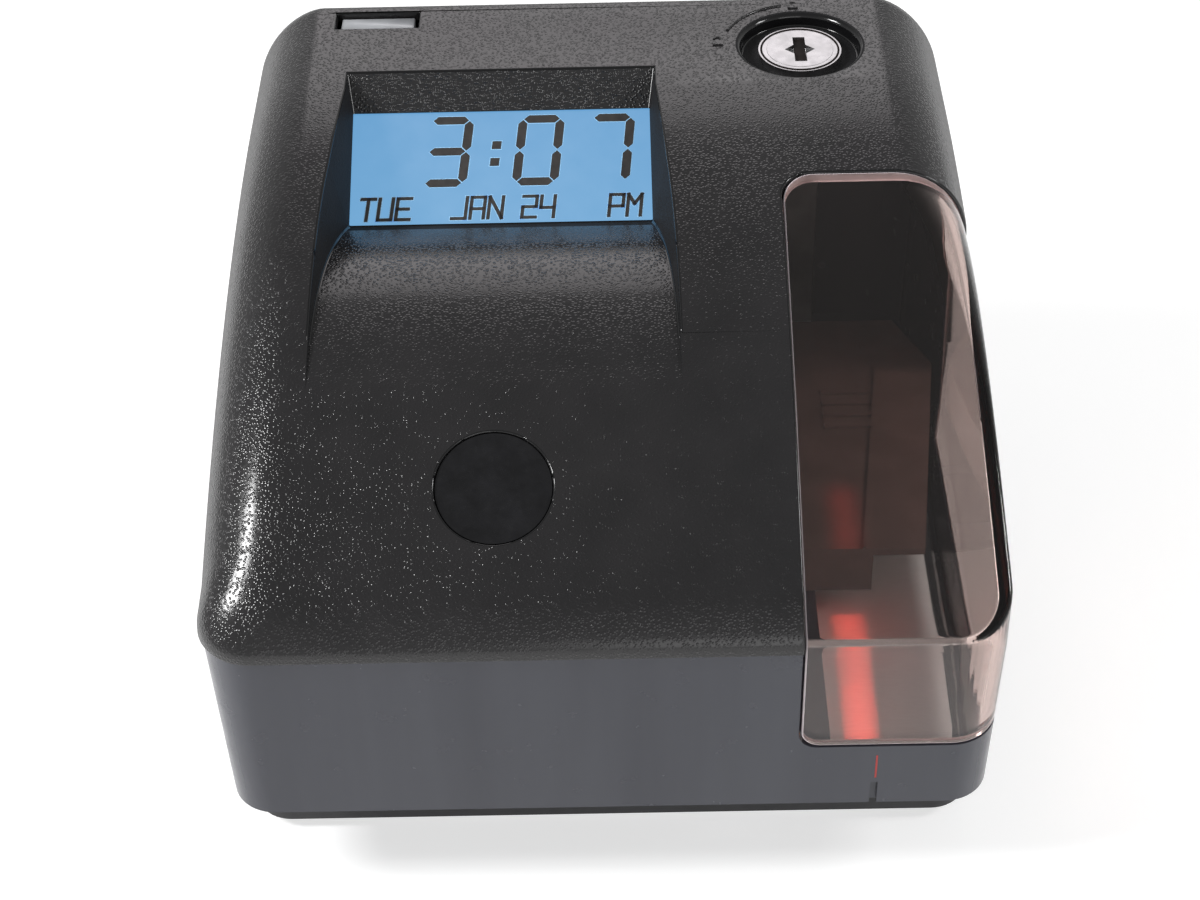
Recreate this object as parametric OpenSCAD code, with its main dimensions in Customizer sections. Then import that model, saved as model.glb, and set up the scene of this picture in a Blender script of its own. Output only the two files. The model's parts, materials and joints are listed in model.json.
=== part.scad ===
// Time clock: a card recorder with a lift-off cover, a smoked corner window and a travelling print head.
// +Z is up, the front faces -Y, and the origin is under the middle of the feet.

/* [Case] */
// Width over the cover at its seam
case_w = 166; // [160:1:190]
// Depth over the cover at its seam
case_d = 175; // [170:1:200]
// Corner radius of the case seen from above
corner_r = 12; // [9:1:18]
// Wall of the lower housing
wall = 2.8; // [2:0.2:3.6]
// Floor of the lower housing
floor_t = 3; // [2.4:0.2:4]
// Height of the lower housing from throat to seam
housing_h = 46; // [44:1:54]
// Step by which the cover stands proud of the housing
seam_step = 0.8; // [0.4:0.1:1.2]
// Draft of the housing on each side from seam to bottom
draft_in = 1.6; // [0.6:0.2:2.4]
// Open line between cover and housing
seam_gap = 0.4; // [0.3:0.1:0.8]

/* [Base] */
// Height of the rubber feet
foot_h = 3; // [2:0.5:6]
// Radius of the rubber feet
foot_r = 7; // [5:0.5:9]
// Thickness of the base shell
base_t = 14; // [13:0.5:20]
// Wall of the base shell
base_wall = 3; // [2.4:0.2:3.6]
// Sheet of the bottom plate
plate_t = 2; // [1.5:0.1:2.5]
// Gap that takes the card
throat_h = 6; // [5:0.5:8]
// Reach of the card throat from the front of the case
throat_d = 89.5; // [87:0.5:93]
// Setback of the base behind the front of the case
base_setback = 18; // [12:1:22]
// Entry radius of the wall keyholes
keyhole_r = 4.5; // [4:0.25:5]
// Distance between the wall keyholes
keyhole_pitch = 80; // [70:1:84]

/* [Cover] */
// Height of the cover from seam to its flat top
cover_h = 52; // [48:1:60]
// Radius of the arched top
arch_r = 235; // [225:5:300]
// Flat stretch at the back of the top
flat_len = 35.5; // [33:0.5:40]
// Wall of the cover
cover_wall = 2.4; // [2:0.1:2.8]
// Rounding of the long top edges
side_r = 17; // [12:1:20]
// Rounding of the front top edge
front_r = 7; // [5:0.5:9]
// Rounding of the back top edge
back_r = 7; // [5:1:12]
// Inward lean of the cover sides per millimetre of height
side_lean = 0.05; // [0.02:0.01:0.08]

/* [Window] */
// Width of the smoked window from the right side
window_w = 43.5; // [42:0.5:46]
// Length of the window from the front
window_len = 100; // [96:1:104]
// Height of the window's lower edge over the throat
window_sill = 18.1; // [16:0.1:24]
// Height of the window's front top edge over the seam
window_rise = 1.8; // [1:0.1:4]
// Rise of the window's arched top over a straight line
window_bulge = 3; // [1:0.5:4]
// Rounding of the window's edges at the front
window_edge = 3; // [2:0.5:5]
// Thickness of the window
window_t = 2.8; // [2:0.1:3.4]

/* [Display] */
// Width of the display that shows
lcd_w = 67.9; // [60:0.1:70]
// Height of the display that shows
lcd_h = 29.7; // [26:0.1:31]
// Tilt of the display toward the user
lcd_tilt = 25; // [22:1:27]
// Depth of the display's middle below the flat top
lcd_depth = 13.7; // [12.5:0.1:15]
// Distance from the back of the case to the display's middle
lcd_from_back = 55; // [53:0.5:58]
// Offset of the display from the middle between the left side and the window
lcd_off = 0.45; // [0:0.05:1.5]
// Length of the sill in front of the display
sill_len = 60.5; // [56:0.5:64]
// Draft of the recess walls in degrees
recess_draft = 10; // [6:1:12]
// Radius of the badge recess
badge_r = 12.1; // [9:0.1:14]

/* [Lock] */
// Radius of the lock well
well_r = 13.65; // [12:0.05:14.5]
// Depth of the lock well
well_depth = 3.2; // [2.4:0.1:3.6]
// Radius of the lock's flange
lock_flange_r = 9.6; // [9.2:0.1:10.5]
// Radius of the lock's barrel
lock_barrel_r = 8.6; // [8.4:0.1:9]
// Radius of the turning plug
plug_r = 6.46; // [6:0.02:6.8]
// Distance from the right side to the lock
lock_from_side = 36; // [34:0.5:38]
// Distance from the back to the lock
lock_from_back = 27; // [25:0.5:29]

/* [Printer] */
// Distance from the window's left edge to the print column
print_in = 16.3; // [15.5:0.1:17]
// Travel of the carriage
carriage_travel = 24; // [18:1:25]
// Radius of the guide rods
rod_r = 3; // [2.5:0.25:3.5]
// Running clearance of the bores
run_gap = 0.05; // [0.03:0.01:0.08]
// Radius of the print head
head_r = 11; // [9:0.5:11.5]
// Height of the ribbon cassette
cassette_h = 12; // [10:0.5:14]
// Radius at which the belt drives its pulleys
pulley_r = 5; // [4.5:0.25:5.5]

/* [Hidden] */
$fn = 48;
far = 400;
fit_gap = 0.2;

half_w = case_w / 2;
half_d = case_d / 2;
base_top = foot_h + base_t;
roof_z = base_top + throat_h;
floor_z = roof_z + floor_t;
seam_z = roof_z + housing_h;
top_z = seam_z + cover_h;

// Base
base_in = seam_step + draft_in + 1.1;
base_hw = half_w - base_in;
base_front = -half_d + base_setback;
base_back = half_d - base_in;
base_y = (base_front + base_back) / 2;
base_hd = (base_back - base_front) / 2;
base_r = corner_r - base_in;
pocket_z = base_top - base_wall;
stop_y = throat_d - half_d;
foot_x = base_hw - foot_r - 8.5;
foot_y = base_hd - foot_r - 7.5;
boss_r = 4.5;
boss_x = base_hw - base_wall - boss_r - 2;
boss_y = base_hd - 38;
small_screw_r = 1.5;
small_head_r = 2.6;
sheet_head_r = 2.2;
long_screw_r = 2;
long_head_r = 3.6;
long_front_y = stop_y + 28;
long_back_y = base_back - 20;
long_boss_r = 5;
long_boss_h = 8;
keyhole_y = base_y - 26;
keyhole_slot = 10;
keyhole_slot_r = 2.3;

// Window
win_x = half_w - window_w;
win_back = -half_d + window_len;
win_bottom = roof_z + window_sill;
win_front_top = seam_z + window_rise;
win_corner = 4;
win_back_corner = 6.8;
win_gap = 0.25;
flange_t = 2;
flange_w = 8;
flange_lap = 3;

// Display
lcd_x = (win_x - half_w) / 2 - lcd_off;
lcd_y = half_d - lcd_from_back;
lcd_z = top_z - lcd_depth;
lcd_gap = 0.4;
glass_t = 1.6;
backlight_t = 2.4;
circuit_t = 1.6;
lcd_rim = 3;
bezel_rim = 3;
board_rim = 3;
crest_y = half_d - flat_len;
lcd_back_y = lcd_y + lcd_h / 2 * cos(lcd_tilt);
lcd_back_z = lcd_z + lcd_h / 2 * sin(lcd_tilt);
lcd_front_y = lcd_y - lcd_h / 2 * cos(lcd_tilt);
lcd_front_z = lcd_z - lcd_h / 2 * sin(lcd_tilt);
stand_t = 3;
stand_foot_t = 2;
stand_x = 30;
stand_front = lcd_y - 12;
stand_back = lcd_y + 13;
display_low = lcd_gap + glass_t + backlight_t + circuit_t;

// Recess: the sill is an arc that leaves the arched top and runs down to the display's front edge
recess_wall = 2.2;
recess_back_y = crest_y;
sill_y = lcd_front_y - sill_len;
sill_lip = 0.4;
sill_z = arch(sill_y) - sill_lip;
sill_slope = asin((crest_y - sill_y) / arch_r);
sill_n = [sin(sill_slope), -cos(sill_slope)];
sill_d = [lcd_front_y - sill_y, lcd_front_z - sill_z];
sill_r = (sill_d * sill_d) / (2 * sill_d * sill_n);
sill_c = [sill_y, sill_z] + sill_r * sill_n;
sill_a0 = 90 + sill_slope;
sill_a1 = atan2(lcd_front_z - sill_c.y, lcd_front_y - sill_c.x);
sill_steps = 14;
recess_front_hw = 38.8;

// Badge, slot and lock
badge_y = -half_d + 26.9;
badge_depth = 1.6;
badge_t = 0.9;
badge_slope = asin((crest_y - badge_y) / arch_r);
slot_w = 19.6;
slot_l = 7.1;
slot_x = -half_w + 31.1;
slot_y = half_d - 12.3;
latch_gap = 1.1;
latch_t = 4.4;
latch_top = 1.4;
lock_x = half_w - lock_from_side;
lock_y = half_d - lock_from_back;
well_z = top_z - well_depth;
well_floor_t = 3.4;
flange_h = 1.8;
flange_top = well_z + flange_h;
plug_head_r = plug_r + 1.2;
plug_head_h = 1.2;
key_slot_w = 2.8;
key_slot_l = 10.6;
wing_w = 7;
wing_l = 6.4;
wing_depth = 0.8;
plug_seat = flange_top - plug_head_h;
barrel_len = 19;
barrel_low = well_z - barrel_len;
plug_low = barrel_low - 2;
tail_w = 5.9;
cam_t = 2;
cam_len = 21;
cam_w = 12;
cam_z = plug_low - 3;
cam_low = cam_z - fit_gap / 2;
nut_h = 3;
nut_r = 12;
keeper_w = 14;
keeper_t = 2.5;
keeper_gap = 1.2;

long_x = max(lock_x + keeper_w / 2, stand_x - lcd_x + stand_t / 2) + long_boss_r + 1;

// Printer
print_x = win_x + print_in;
head_y = stop_y - 4;
rod_x = print_x - 28;
rod_low_z = floor_z + 7;
rod_high_z = rod_low_z + 12;
carriage_hw = 8;
carriage_len = 30;
carriage_low = rod_low_z - rod_r - 1.5;
deck_z = rod_high_z + rod_r + 1.5;
deck_t = 3;
deck_reach = 16;
frame_t = 2;
frame_gap = 4;
frame_front = head_y - carriage_len / 2 - carriage_travel - frame_gap;
frame_back = head_y + carriage_len / 2 + frame_gap;
frame_x = rod_x - carriage_hw - 7;
frame_right = rod_x + carriage_hw;
frame_top = deck_z - 0.5;
belt_w = 2.6;
belt_t = 1;
belt_gap = 0.3;
belt_x = frame_x + frame_t + 2.7;
belt_z = (rod_low_z + rod_high_z) / 2 + 1;
pulley_flange = 1.2;
pulley_front_y = frame_front + frame_t + pulley_r + pulley_flange + 0.8;
pulley_back_y = frame_back - frame_t - pulley_r - pulley_flange - 0.8;
pulley_w = 3.4;
shaft_r = 1.5;
motor_r = 10;
motor_len = 15;
head_low = floor_z + 3.5;
nose_tip = roof_z + 2.2;
nose_w = 6;
nose_l = 10;
case_side_in = half_w - seam_step - draft_in - window_t;
cassette_right = case_side_in - 1.2;
cassette_left = frame_x + 8;
cassette_ahead = 46;
cassette_behind = 34;
cassette_front = head_y - cassette_ahead;
cassette_back = head_y + cassette_behind;
cassette_cut = 17;
cassette_taper = 8.3;
taper_len = cassette_back - cassette_cut - cassette_front;
cassette_wall = 1.4;
tray_notch = 22;
lid_t = 2;
arm_w = 8;
arm_t = 3;
arm_gap = 0.5;
ribbon_t = 0.4;
ribbon_in = 0.5;
arm_low = nose_tip - 0.4;
arm_front = head_y - carriage_len / 2 - arm_gap - arm_t;
arm_back = head_y + carriage_len / 2 + arm_gap;
lamp_t = 1.6;
lamp_h = 7;
knob_r = 6;
knob_h = 5;
knob_spindle_r = 2;
knob_x = cassette_left + 9;
knob_y = head_y + 16;
opening_left = print_x - 8;
opening_right = case_side_in - 1;
opening_front = base_front - 2;
opening_back = arm_back + arm_t + 3.5;

// Card lever
lever_x = frame_x - 20;
lever_y = stop_y - 5;
lever_z = floor_z + 5;
lever_w = 4.4;
lever_hub_r = 2.6;
lever_pin_r = 1;
lever_tip = base_top + 1.5;
lever_slot = 5.4;
cheek_t = 2;
cheek_h = 8;
cheek_l = 8;

// Main board
board_left = -half_w + 9;
board_front = -half_d + 17.5;
board_gap = 2.1;
board_w = lever_x - lever_slot / 2 - cheek_t - board_gap - board_left;
stand_gap = 10.5;
board_l = stand_front - stand_gap - board_front;
board_right = board_left + board_w;
board_back = board_front + board_l;
board_z = floor_z + 7;
board_top = board_z + circuit_t;
board_edge = 5;
standoff_r = 3;
key_r = 5.2;
key_stem_r = 3.3;
key_h = 2.6;
key_pitch = board_w / 4;
key_travel = 1;
switch_w = 0.8 * key_pitch;
switch_h = 4;
switch_floor = 1;
key_x = board_left + key_pitch + 1;
key_y = board_front + 0.15 * board_l;
battery_r = 10;
battery_t = 3.2;
holder_r = battery_r + 2;
battery_x = board_right - holder_r - 2;
battery_y = board_front + 0.45 * board_l;
buzzer_r = 6;
buzzer_h = 7;
buzzer_x = board_right - buzzer_r - 5;
buzzer_y = board_back - buzzer_r - 6;
chip_gap = 4;
chip_t = 3;
chip_w = 13;
chip_x = board_left + 2.2;
chip_back = board_back - 22;
driver_w = 16;
driver_t = 2.5;
cap_pitch = board_w / 6;
cap_r = 0.42 * cap_pitch;
cap_y = board_back - 13;
cap_h = 12;
socket_x = board_right - 26;
socket_y = board_back - 4;
socket_w = 16;
socket_l = 5;
socket_h = 6;
cable_w = 12;
cable_t = 0.6;

// Power inlet
inlet_x = slot_x + 19.9;
vent_x = inlet_x + 12;
vent_pitch = 8;
vent_w = 2.4;
vent_h = 16;
inlet_z = floor_z + 12;
inlet_r = 4;
inlet_bore = 2.9;
inlet_pin = 1;
inlet_body = 11;
inlet_face = half_d - 0.3;
inlet_flange_r = inlet_r + 1.8;

function arch(y) = y >= crest_y ? top_z : top_z - arch_r + sqrt(arch_r * arch_r - (crest_y - y)
  * (crest_y - y));

// Half width and half depth of the housing at a height, before any inset
function housing_in(z) = seam_step + draft_in * (seam_z - z) / housing_h;

inlet_seat = half_d - housing_in(inlet_z + inlet_flange_r) + 0.05;

module rounded(w, d, r) {
  for (s = [-1, 1]) {
    translate([s * (w / 2 - r), 0]) square([2 * r, d - 2 * r], center = true);
    for (t = [-1, 1]) translate([s * (w / 2 - r), t * (d / 2 - r)]) circle(r);
  }
  square([w - 2 * r, d], center = true);
}

module slab(w, d, h, r) {
  linear_extrude(h) rounded(w, d, r);
}

module box(x0, x1, y0, y1, z0, z1) {
  translate([x0, y0, z0]) cube([x1 - x0, y1 - y0, z1 - z0]);
}

module rod_x_axis(x0, x1, y, z, r) {
  translate([x0, y, z]) rotate([0, 90, 0]) cylinder(h = x1 - x0, r = r);
}

module rod_y_axis(x, y0, y1, z, r) {
  translate([x, y0, z]) rotate([-90, 0, 0]) cylinder(h = y1 - y0, r = r);
}

// Outline in Y and Z, extruded along X
module side_plate(x0, x1, points) {
  translate([x0, 0, 0]) rotate([90, 0, 90]) linear_extrude(x1 - x0) polygon(points);
}

module pan_screw(r, head_r, head_h, length) {
  cylinder(r = head_r, h = head_h);
  translate([0, 0, -length]) cylinder(r = r, h = length);
}

module base_corners(x, y) {
  for (s = [-1, 1], t = [-1, 1]) translate([s * x, base_y + t * y, 0]) children();
}

module base_slab(inset, low, high) {
  translate([0, base_y, low]) slab(2 * (base_hw - inset), 2 * (base_hd - inset), high - low,
    base_r - inset);
}

// Drafted rounded form of the case, drawn in by a wall
module case_form(inset, top_inset) {
  levels = [[roof_z, seam_step + draft_in], [seam_z, seam_step], [top_z, seam_step + top_inset]];
  hull() for (level = levels) {
    step = level[1] + inset;
    translate([0, 0, level[0]]) slab(case_w - 2 * step, case_d - 2 * step, 0.01, corner_r - step);
  }
}

// Arched cover: nested rounded outlines, each lifted onto the arch less the drop of its edge rounding
cover_side_steps = 22;
cover_corner_steps = 6;
cover_edge_steps = 7;

function half_outline(hw, y0, y1, r) = concat(
  [for (i = [0:cover_corner_steps]) let (a = -90 + 90 * i / cover_corner_steps)
    [hw - r + r * cos(a), y0 + r + r * sin(a)]],
  [for (i = [1:cover_side_steps - 1]) [hw, y0 + r + (y1 - y0 - 2 * r) * i / cover_side_steps]],
  [for (i = [0:cover_corner_steps]) let (a = 90 * i / cover_corner_steps)
    [hw - r + r * cos(a), y1 - r + r * sin(a)]]);

function outline(half) = concat(half, [for (i = [len(half) - 1:-1:0]) [-half[i].x, half[i].y]]);

function edge_drop(y, inset) = min(side_r, arch(y) - seam_z - 2) - inset * 0.6;

function lifted(p, z) = [p.x * (1 - side_lean * max(0, z - seam_z) / half_w), p.y, z];

function cover_ring(k, inset) = let (
  a = 90 * k / cover_edge_steps,
  e = 1 - cos(a),
  half = half_outline(half_w - inset - e * (side_r - inset), -half_d + inset + e * front_r,
    half_d - inset - e * (back_r - inset), max(corner_r - inset - 0.7 * e * side_r, 2.5)))
  [for (p = outline(half))
    lifted(p, arch(p.y) - inset * 1.12 - edge_drop(p.y, inset) * (1 - sin(a)))];

module cover_form(inset, low) {
  first = [for (p = outline(half_outline(half_w - inset, -half_d + inset, half_d - inset,
    corner_r - inset)))
    [p.x, p.y, low]];
  ring_form(concat([first], [for (k = [0:cover_edge_steps]) cover_ring(k, inset)]));
}

// Closed form over a stack of rings, with a lid of strips from side to side
module ring_form(rings) {
  n = len(rings[0]);
  last = len(rings) - 1;
  sides = [for (k = [0:last - 1], i = [0:n - 1]) let (j = (i + 1) % n)
    each [[k * n + i, (k + 1) * n + j, k * n + j], [k * n + i, (k + 1) * n + i, (k + 1) * n + j]]];
  lid = [for (i = [0:n / 2 - 2]) let (a = last * n + i, b = last * n + n - 1 - i)
    each [[a, b, b - 1], [a, b - 1, a + 1]]];
  polyhedron([for (ring = rings) each ring], concat([[for (i = [0:n - 1]) i]], sides, lid));
}

// Stations of the display recess from its back edge to the end of the sill: y, floor height, floor half width
function recess_surface_hw(y) = let (start = lcd_w / 2 + (arch(lcd_front_y) - lcd_front_z)
  * tan(recess_draft))
  start + (recess_front_hw - start) * (1 - pow(1 - (lcd_front_y - y) / sill_len, 3));

cut_top = top_z + 9;
recess_over = 1;
recess_run = (recess_back_y - lcd_back_y) / (top_z - lcd_back_z);
recess_stations = concat(
  [[recess_back_y + (cut_top - top_z) * recess_run, cut_top - 0.1, lcd_w / 2 + (cut_top - lcd_back_z)
    * tan(recess_draft)],
   [lcd_back_y - recess_over * recess_run, lcd_back_z - recess_over,
     lcd_w / 2 - recess_over * tan(recess_draft)],
   [lcd_front_y + recess_over / 4, lcd_front_z - recess_over, lcd_w / 2 - recess_over * tan(recess_draft)]],
  [for (i = [0:sill_steps]) let (
    a = sill_a1 + (sill_a0 - sill_a1) * i / sill_steps,
    y = sill_c.x + sill_r * cos(a),
    z = sill_c.y + sill_r * sin(a))
    [y, z, recess_surface_hw(y) - (arch(y) - z) * tan(recess_draft)]]);

module recess(grow) {
  last = len(recess_stations) - 1;
  points = [for (i = [0:last]) let (
    s = recess_stations[i],
    y = s[0] + (i == 0 ? grow : i == last ? -grow : 0),
    low = s[1] - grow,
    hw = s[2] + grow,
    high = hw + (cut_top - low) * tan(recess_draft))
    each [[lcd_x - hw, y, low], [lcd_x + hw, y, low], [lcd_x + high, y, cut_top], [lcd_x - high, y,
      cut_top]]];
  skin = [for (i = [0:last - 1], k = [0:3]) let (a = 4 * i + k, b = 4 * i + (k + 1) % 4)
    each [[a, b + 4, b], [a, a + 4, b + 4]]];
  polyhedron(points, concat([[0, 1, 2, 3]], skin, [[4 * last + 3, 4 * last + 2, 4 * last + 1, 4 * last]]));
}

module at_display() {
  translate([lcd_x, lcd_y, lcd_z]) rotate([lcd_tilt, 0, 0]) children();
}

module display_layer(w, l, low, high) {
  at_display() translate([-w / 2, -l / 2, low]) cube([w, l, high - low]);
}

// Plan of the window with its rounded inner corner, grown by a gap
module window_plan(grow) {
  x = win_x - grow;
  y = win_back + grow;
  r = win_back_corner;
  translate([x + r, -far]) square([far, far + y]);
  translate([x, -far]) square([far, far + y - r]);
  translate([x + r, y - r]) circle(r);
}

// Arched top of the window as an outline in Y and Z, lowered by a depth
win_chord = [win_back + half_d, arch(win_back) - win_front_top];
win_steps = 12;
win_edge_steps = 5;
function window_top(depth) = [for (i = [0:win_steps]) let (t = i / win_steps)
  [-half_d + win_chord.x * t, win_front_top + win_chord.y * t + 4 * window_bulge * t * (1 - t) - depth]];

// Arched form of the window: its edge rounding grows from the front to where it meets the cover
function window_t_at(y) = (y + half_d) / window_len;
function window_z(y) = let (t = window_t_at(y))
  win_front_top + win_chord.y * t + 4 * window_bulge * t * (1 - t);
function edge_at(y, inset) = let (t = min(max(window_t_at(y), 0), 1))
  max(window_edge + (side_r - window_edge) * t * t * t - inset, 0.8);

function window_ring(k, inset) = let (
  a = 90 * k / win_edge_steps,
  e = 1 - cos(a),
  front = edge_at(-half_d, inset),
  step = seam_step + inset,
  half = half_outline(half_w - step - e * front, -half_d + step + e * front, win_back + 2 * corner_r,
    corner_r - step - e * front))
  [for (p = outline(half)) let (edge = edge_at(p.y, inset))
    lifted([p.x * (1 - e * (edge - front) / half_w), p.y], window_z(p.y) - inset - edge * (1 - sin(a)))];

module window_form(inset) {
  step = seam_step + inset;
  first = [for (p = outline(half_outline(half_w - step, -half_d + step, win_back + 2 * corner_r,
    corner_r - step)))
    [p.x, p.y, roof_z]];
  ring_form(concat([first], [for (k = [0:win_edge_steps]) window_ring(k, inset)]));
}

// Front view of the window with its rounded lower corner, grown by a gap
module window_front(grow) {
  x = win_x - grow;
  z = win_bottom - grow;
  r = win_corner;
  translate([x + r, z]) square([far, far]);
  translate([x, z + r]) square([far, far]);
  translate([x + r, z + r]) circle(r);
}

module window_block(grow) {
  intersection() {
    translate([0, 0, -far / 2]) linear_extrude(far) window_plan(grow);
    translate([0, far / 2, 0]) rotate([90, 0, 0]) linear_extrude(far) window_front(grow);
  }
}

module base_shell() {
  color("#202226") difference() {
    union() {
      difference() {
        base_slab(0, foot_h, base_top);
        base_slab(base_wall, foot_h - 1, pocket_z);
      }
      base_corners(boss_x, boss_y) translate([0, 0, foot_h + plate_t]) cylinder(r = boss_r, h =
        pocket_z - foot_h - plate_t);
    }
    base_corners(boss_x, boss_y) translate([0, 0, foot_h]) cylinder(r = small_screw_r, h = plate_t + 7);
    long_screw_places() translate([0, 0, foot_h]) cylinder(r = long_screw_r + 0.1, h = base_t + 1);
    platen_place(fit_gap, base_top + 1);
  }
}

module long_screw_places() {
  for (s = [-1, 1], y = [long_front_y, long_back_y]) translate([s * long_x, y, 0]) children();
}

platen_t = 1.2;

module platen_place(grow, high) {
  box(opening_left - grow, base_hw - 3.5 + grow, base_front + 3 - grow, stop_y - 3 + grow,
    base_top - platen_t, high);
}

module bottom_plate() {
  color("#55585c") difference() {
    base_slab(base_wall + fit_gap, foot_h, foot_h + plate_t);
    base_corners(boss_x, boss_y) translate([0, 0, foot_h - 1]) cylinder(r = small_screw_r + 0.1, h =
      plate_t + 2);
    base_corners(boss_x, boss_y) translate([0, 0, foot_h]) cylinder(r1 = small_head_r + 0.1, r2 =
      small_screw_r + 0.1, h = 1.1);
    for (s = [-1, 1]) translate([s * keyhole_pitch / 2, keyhole_y, foot_h - 1]) {
      cylinder(r = keyhole_r, h = plate_t + 2);
      translate([-keyhole_slot_r, 0, 0]) cube([2 * keyhole_slot_r, keyhole_slot, plate_t + 2]);
      translate([0, keyhole_slot, 0]) cylinder(r = keyhole_slot_r, h = plate_t + 2);
    }
  }
}

module bottom_screws() {
  color("silver") base_corners(boss_x, boss_y) translate([0, 0, foot_h]) {
    cylinder(r1 = small_head_r, r2 = small_screw_r, h = 1.1);
    cylinder(r = small_screw_r, h = plate_t + 6);
  }
}

module rubber_feet() {
  color("#17181a") base_corners(foot_x, foot_y) cylinder(r = foot_r, h = foot_h);
}

module platen_plate() {
  color("#b9bcc0") platen_place(0, base_top);
}

module anvil_block() {
  color("#6a6d70")
    box(opening_left, boss_x - boss_r - 1.5, base_front + 16, stop_y - 8, foot_h + plate_t + 1, pocket_z);
}

module rear_spacer() {
  back = base_back - 2;
  color("#202226") difference() {
    translate([0, (stop_y + back) / 2, base_top]) slab(2 * (base_hw - 3), back - stop_y, throat_h, 6);
    box(lever_x - lever_w, lever_x + lever_w, stop_y - 1, stop_y + 9, base_top - 1, roof_z + 1);
    long_screw_places() translate([0, 0, base_top - 1]) cylinder(r = long_screw_r + 0.1, h = throat_h + 2);
  }
}

module frame_screws() {
  color("silver") long_screw_places() translate([0, 0, pocket_z]) mirror([0, 0, 1])
    pan_screw(long_screw_r, long_head_r, 2.4, base_wall + throat_h + floor_t + long_boss_h - 1);
}

module lower_housing() {
  color("#2b2f38") difference() {
    union() {
      intersection() {
        case_form(0, 0);
        box(-far, far, -far, far, roof_z, seam_z);
      }
      rim_lip();
    }
    difference() {
      case_form(wall, 0);
      box(-far, far, -far, far, 0, floor_z);
      long_screw_places() translate([0, 0, floor_z - 1]) cylinder(r = long_boss_r, h = long_boss_h + 1);
      rim_lip();
    }
    difference() {
      window_block(win_gap);
      box(-far, far, -far, far, 0, floor_z + 0.1);
    }
    box(opening_left, opening_right, opening_front, opening_back, roof_z - 1, floor_z + 1);
    box(lever_x - lever_slot / 2, lever_x + lever_slot / 2, lever_y - 6, lever_y + 9, roof_z - 1,
      floor_z + 1);
    long_screw_places() translate([0, 0, roof_z - 1]) cylinder(r = long_screw_r + 0.1, h =
      floor_t + long_boss_h + 2);
    rod_y_axis(inlet_x, half_d - 12, half_d + 1, inlet_z, inlet_r + 0.1);
    for (i = [0:6]) box(vent_x + vent_pitch * i, vent_x + vent_pitch * i + vent_w, half_d - 12, half_d + 1,
      inlet_z, inlet_z + vent_h);
    box(print_x - 1, print_x + 0.6, -half_d - 1, -half_d + 3.6, roof_z - 1, roof_z + 6.5);
  }
}

// Lip that the cover drops over
lip_h = 2.5;
lip_t = 1.4;

module rim_lip() {
  lip_in = cover_wall + 0.4;
  difference() {
    translate([0, 0, seam_z - 1.5]) slab(case_w - 2 * lip_in, case_d - 2 * lip_in, 1.5 + lip_h,
      corner_r - lip_in);
    translate([0, 0, seam_z - 3])
      slab(case_w - 2 * (lip_in + lip_t), case_d - 2 * (lip_in + lip_t), 3 + lip_h + 1,
        corner_r - lip_in - lip_t);
    box(-far, far, -far, -half_d + corner_r, 0, far);
  }
}

module power_inlet() {
  inner = half_d - housing_in(inlet_z) - wall - 2.4;
  color("#1c1d20") difference() {
    union() {
      box(inlet_x - inlet_body / 2, inlet_x + inlet_body / 2, inner - 12, inner,
        inlet_z - inlet_body / 2, inlet_z + inlet_body / 2);
      rod_y_axis(inlet_x, inner - 1, inlet_face, inlet_z, inlet_r);
      rod_y_axis(inlet_x, inlet_seat, inlet_face, inlet_z, inlet_flange_r);
    }
    difference() {
      rod_y_axis(inlet_x, inner - 9, inlet_face + 1, inlet_z, inlet_bore);
      rod_y_axis(inlet_x, inner - 10, inlet_face - 2, inlet_z, inlet_pin);
    }
  }
}

module inlet_nut() {
  inner = half_d - housing_in(inlet_z) - wall - 2.4;
  color("silver") difference() {
    translate([inlet_x, inner, inlet_z]) rotate([-90, 0, 0]) cylinder(r = inlet_r + 3, h = 1.9, $fn = 6);
    rod_y_axis(inlet_x, inner - 1, inner + 4, inlet_z, inlet_r + 0.05);
  }
}

module latch_post() {
  w = slot_w - 2 * latch_gap;
  back = slot_y + slot_l / 2 - latch_gap / 2;
  color("#c9ccd2") {
    box(slot_x - w / 2, slot_x + w / 2, back - latch_t, back, floor_z, top_z - latch_top);
    box(slot_x, slot_x + w / 2 + 4, back - latch_t - 8, back, floor_z, floor_z + 3);
  }
}

module lock_keeper() {
  y = lock_y + cam_len - 3;
  color("#9a9da1") {
    box(lock_x - keeper_w / 2, lock_x + keeper_w / 2, y - keeper_t, y, floor_z, cam_low - keeper_gap);
    box(lock_x - keeper_w / 2, lock_x + keeper_w / 2, y - 14, y, floor_z, floor_z + keeper_t);
  }
}

module board_corners() {
  for (x = [board_left + board_edge, board_right - board_edge],
       y = [board_front + board_edge, board_back - board_edge]) translate([x, y, 0]) children();
}

module main_board() {
  color("#1f6b3a") difference() {
    box(board_left, board_right, board_front, board_back, board_z, board_top);
    board_corners() translate([0, 0, board_z - 1]) cylinder(r = small_screw_r + 0.1, h = circuit_t + 2);
  }
}

module board_standoffs() {
  color("#d8c27a") board_corners() difference() {
    translate([0, 0, floor_z]) cylinder(r = standoff_r, h = board_z - floor_z);
    translate([0, 0, floor_z + 1]) cylinder(r = small_screw_r + 0.05, h = board_z);
  }
}

module board_screws() {
  color("silver") board_corners() translate([0, 0, board_top]) pan_screw(small_screw_r, small_head_r,
    1.6, circuit_t + 5);
}

module board_chips() {
  color("#15161a") {
    box(chip_x, chip_x + chip_w, battery_y - 2, chip_back, board_top, board_top + chip_t);
    box(board_right - driver_w - chip_gap, board_right - chip_gap, battery_y + holder_r + 1,
      buzzer_y - buzzer_r - 1, board_top, board_top + driver_t);
  }
}

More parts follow.
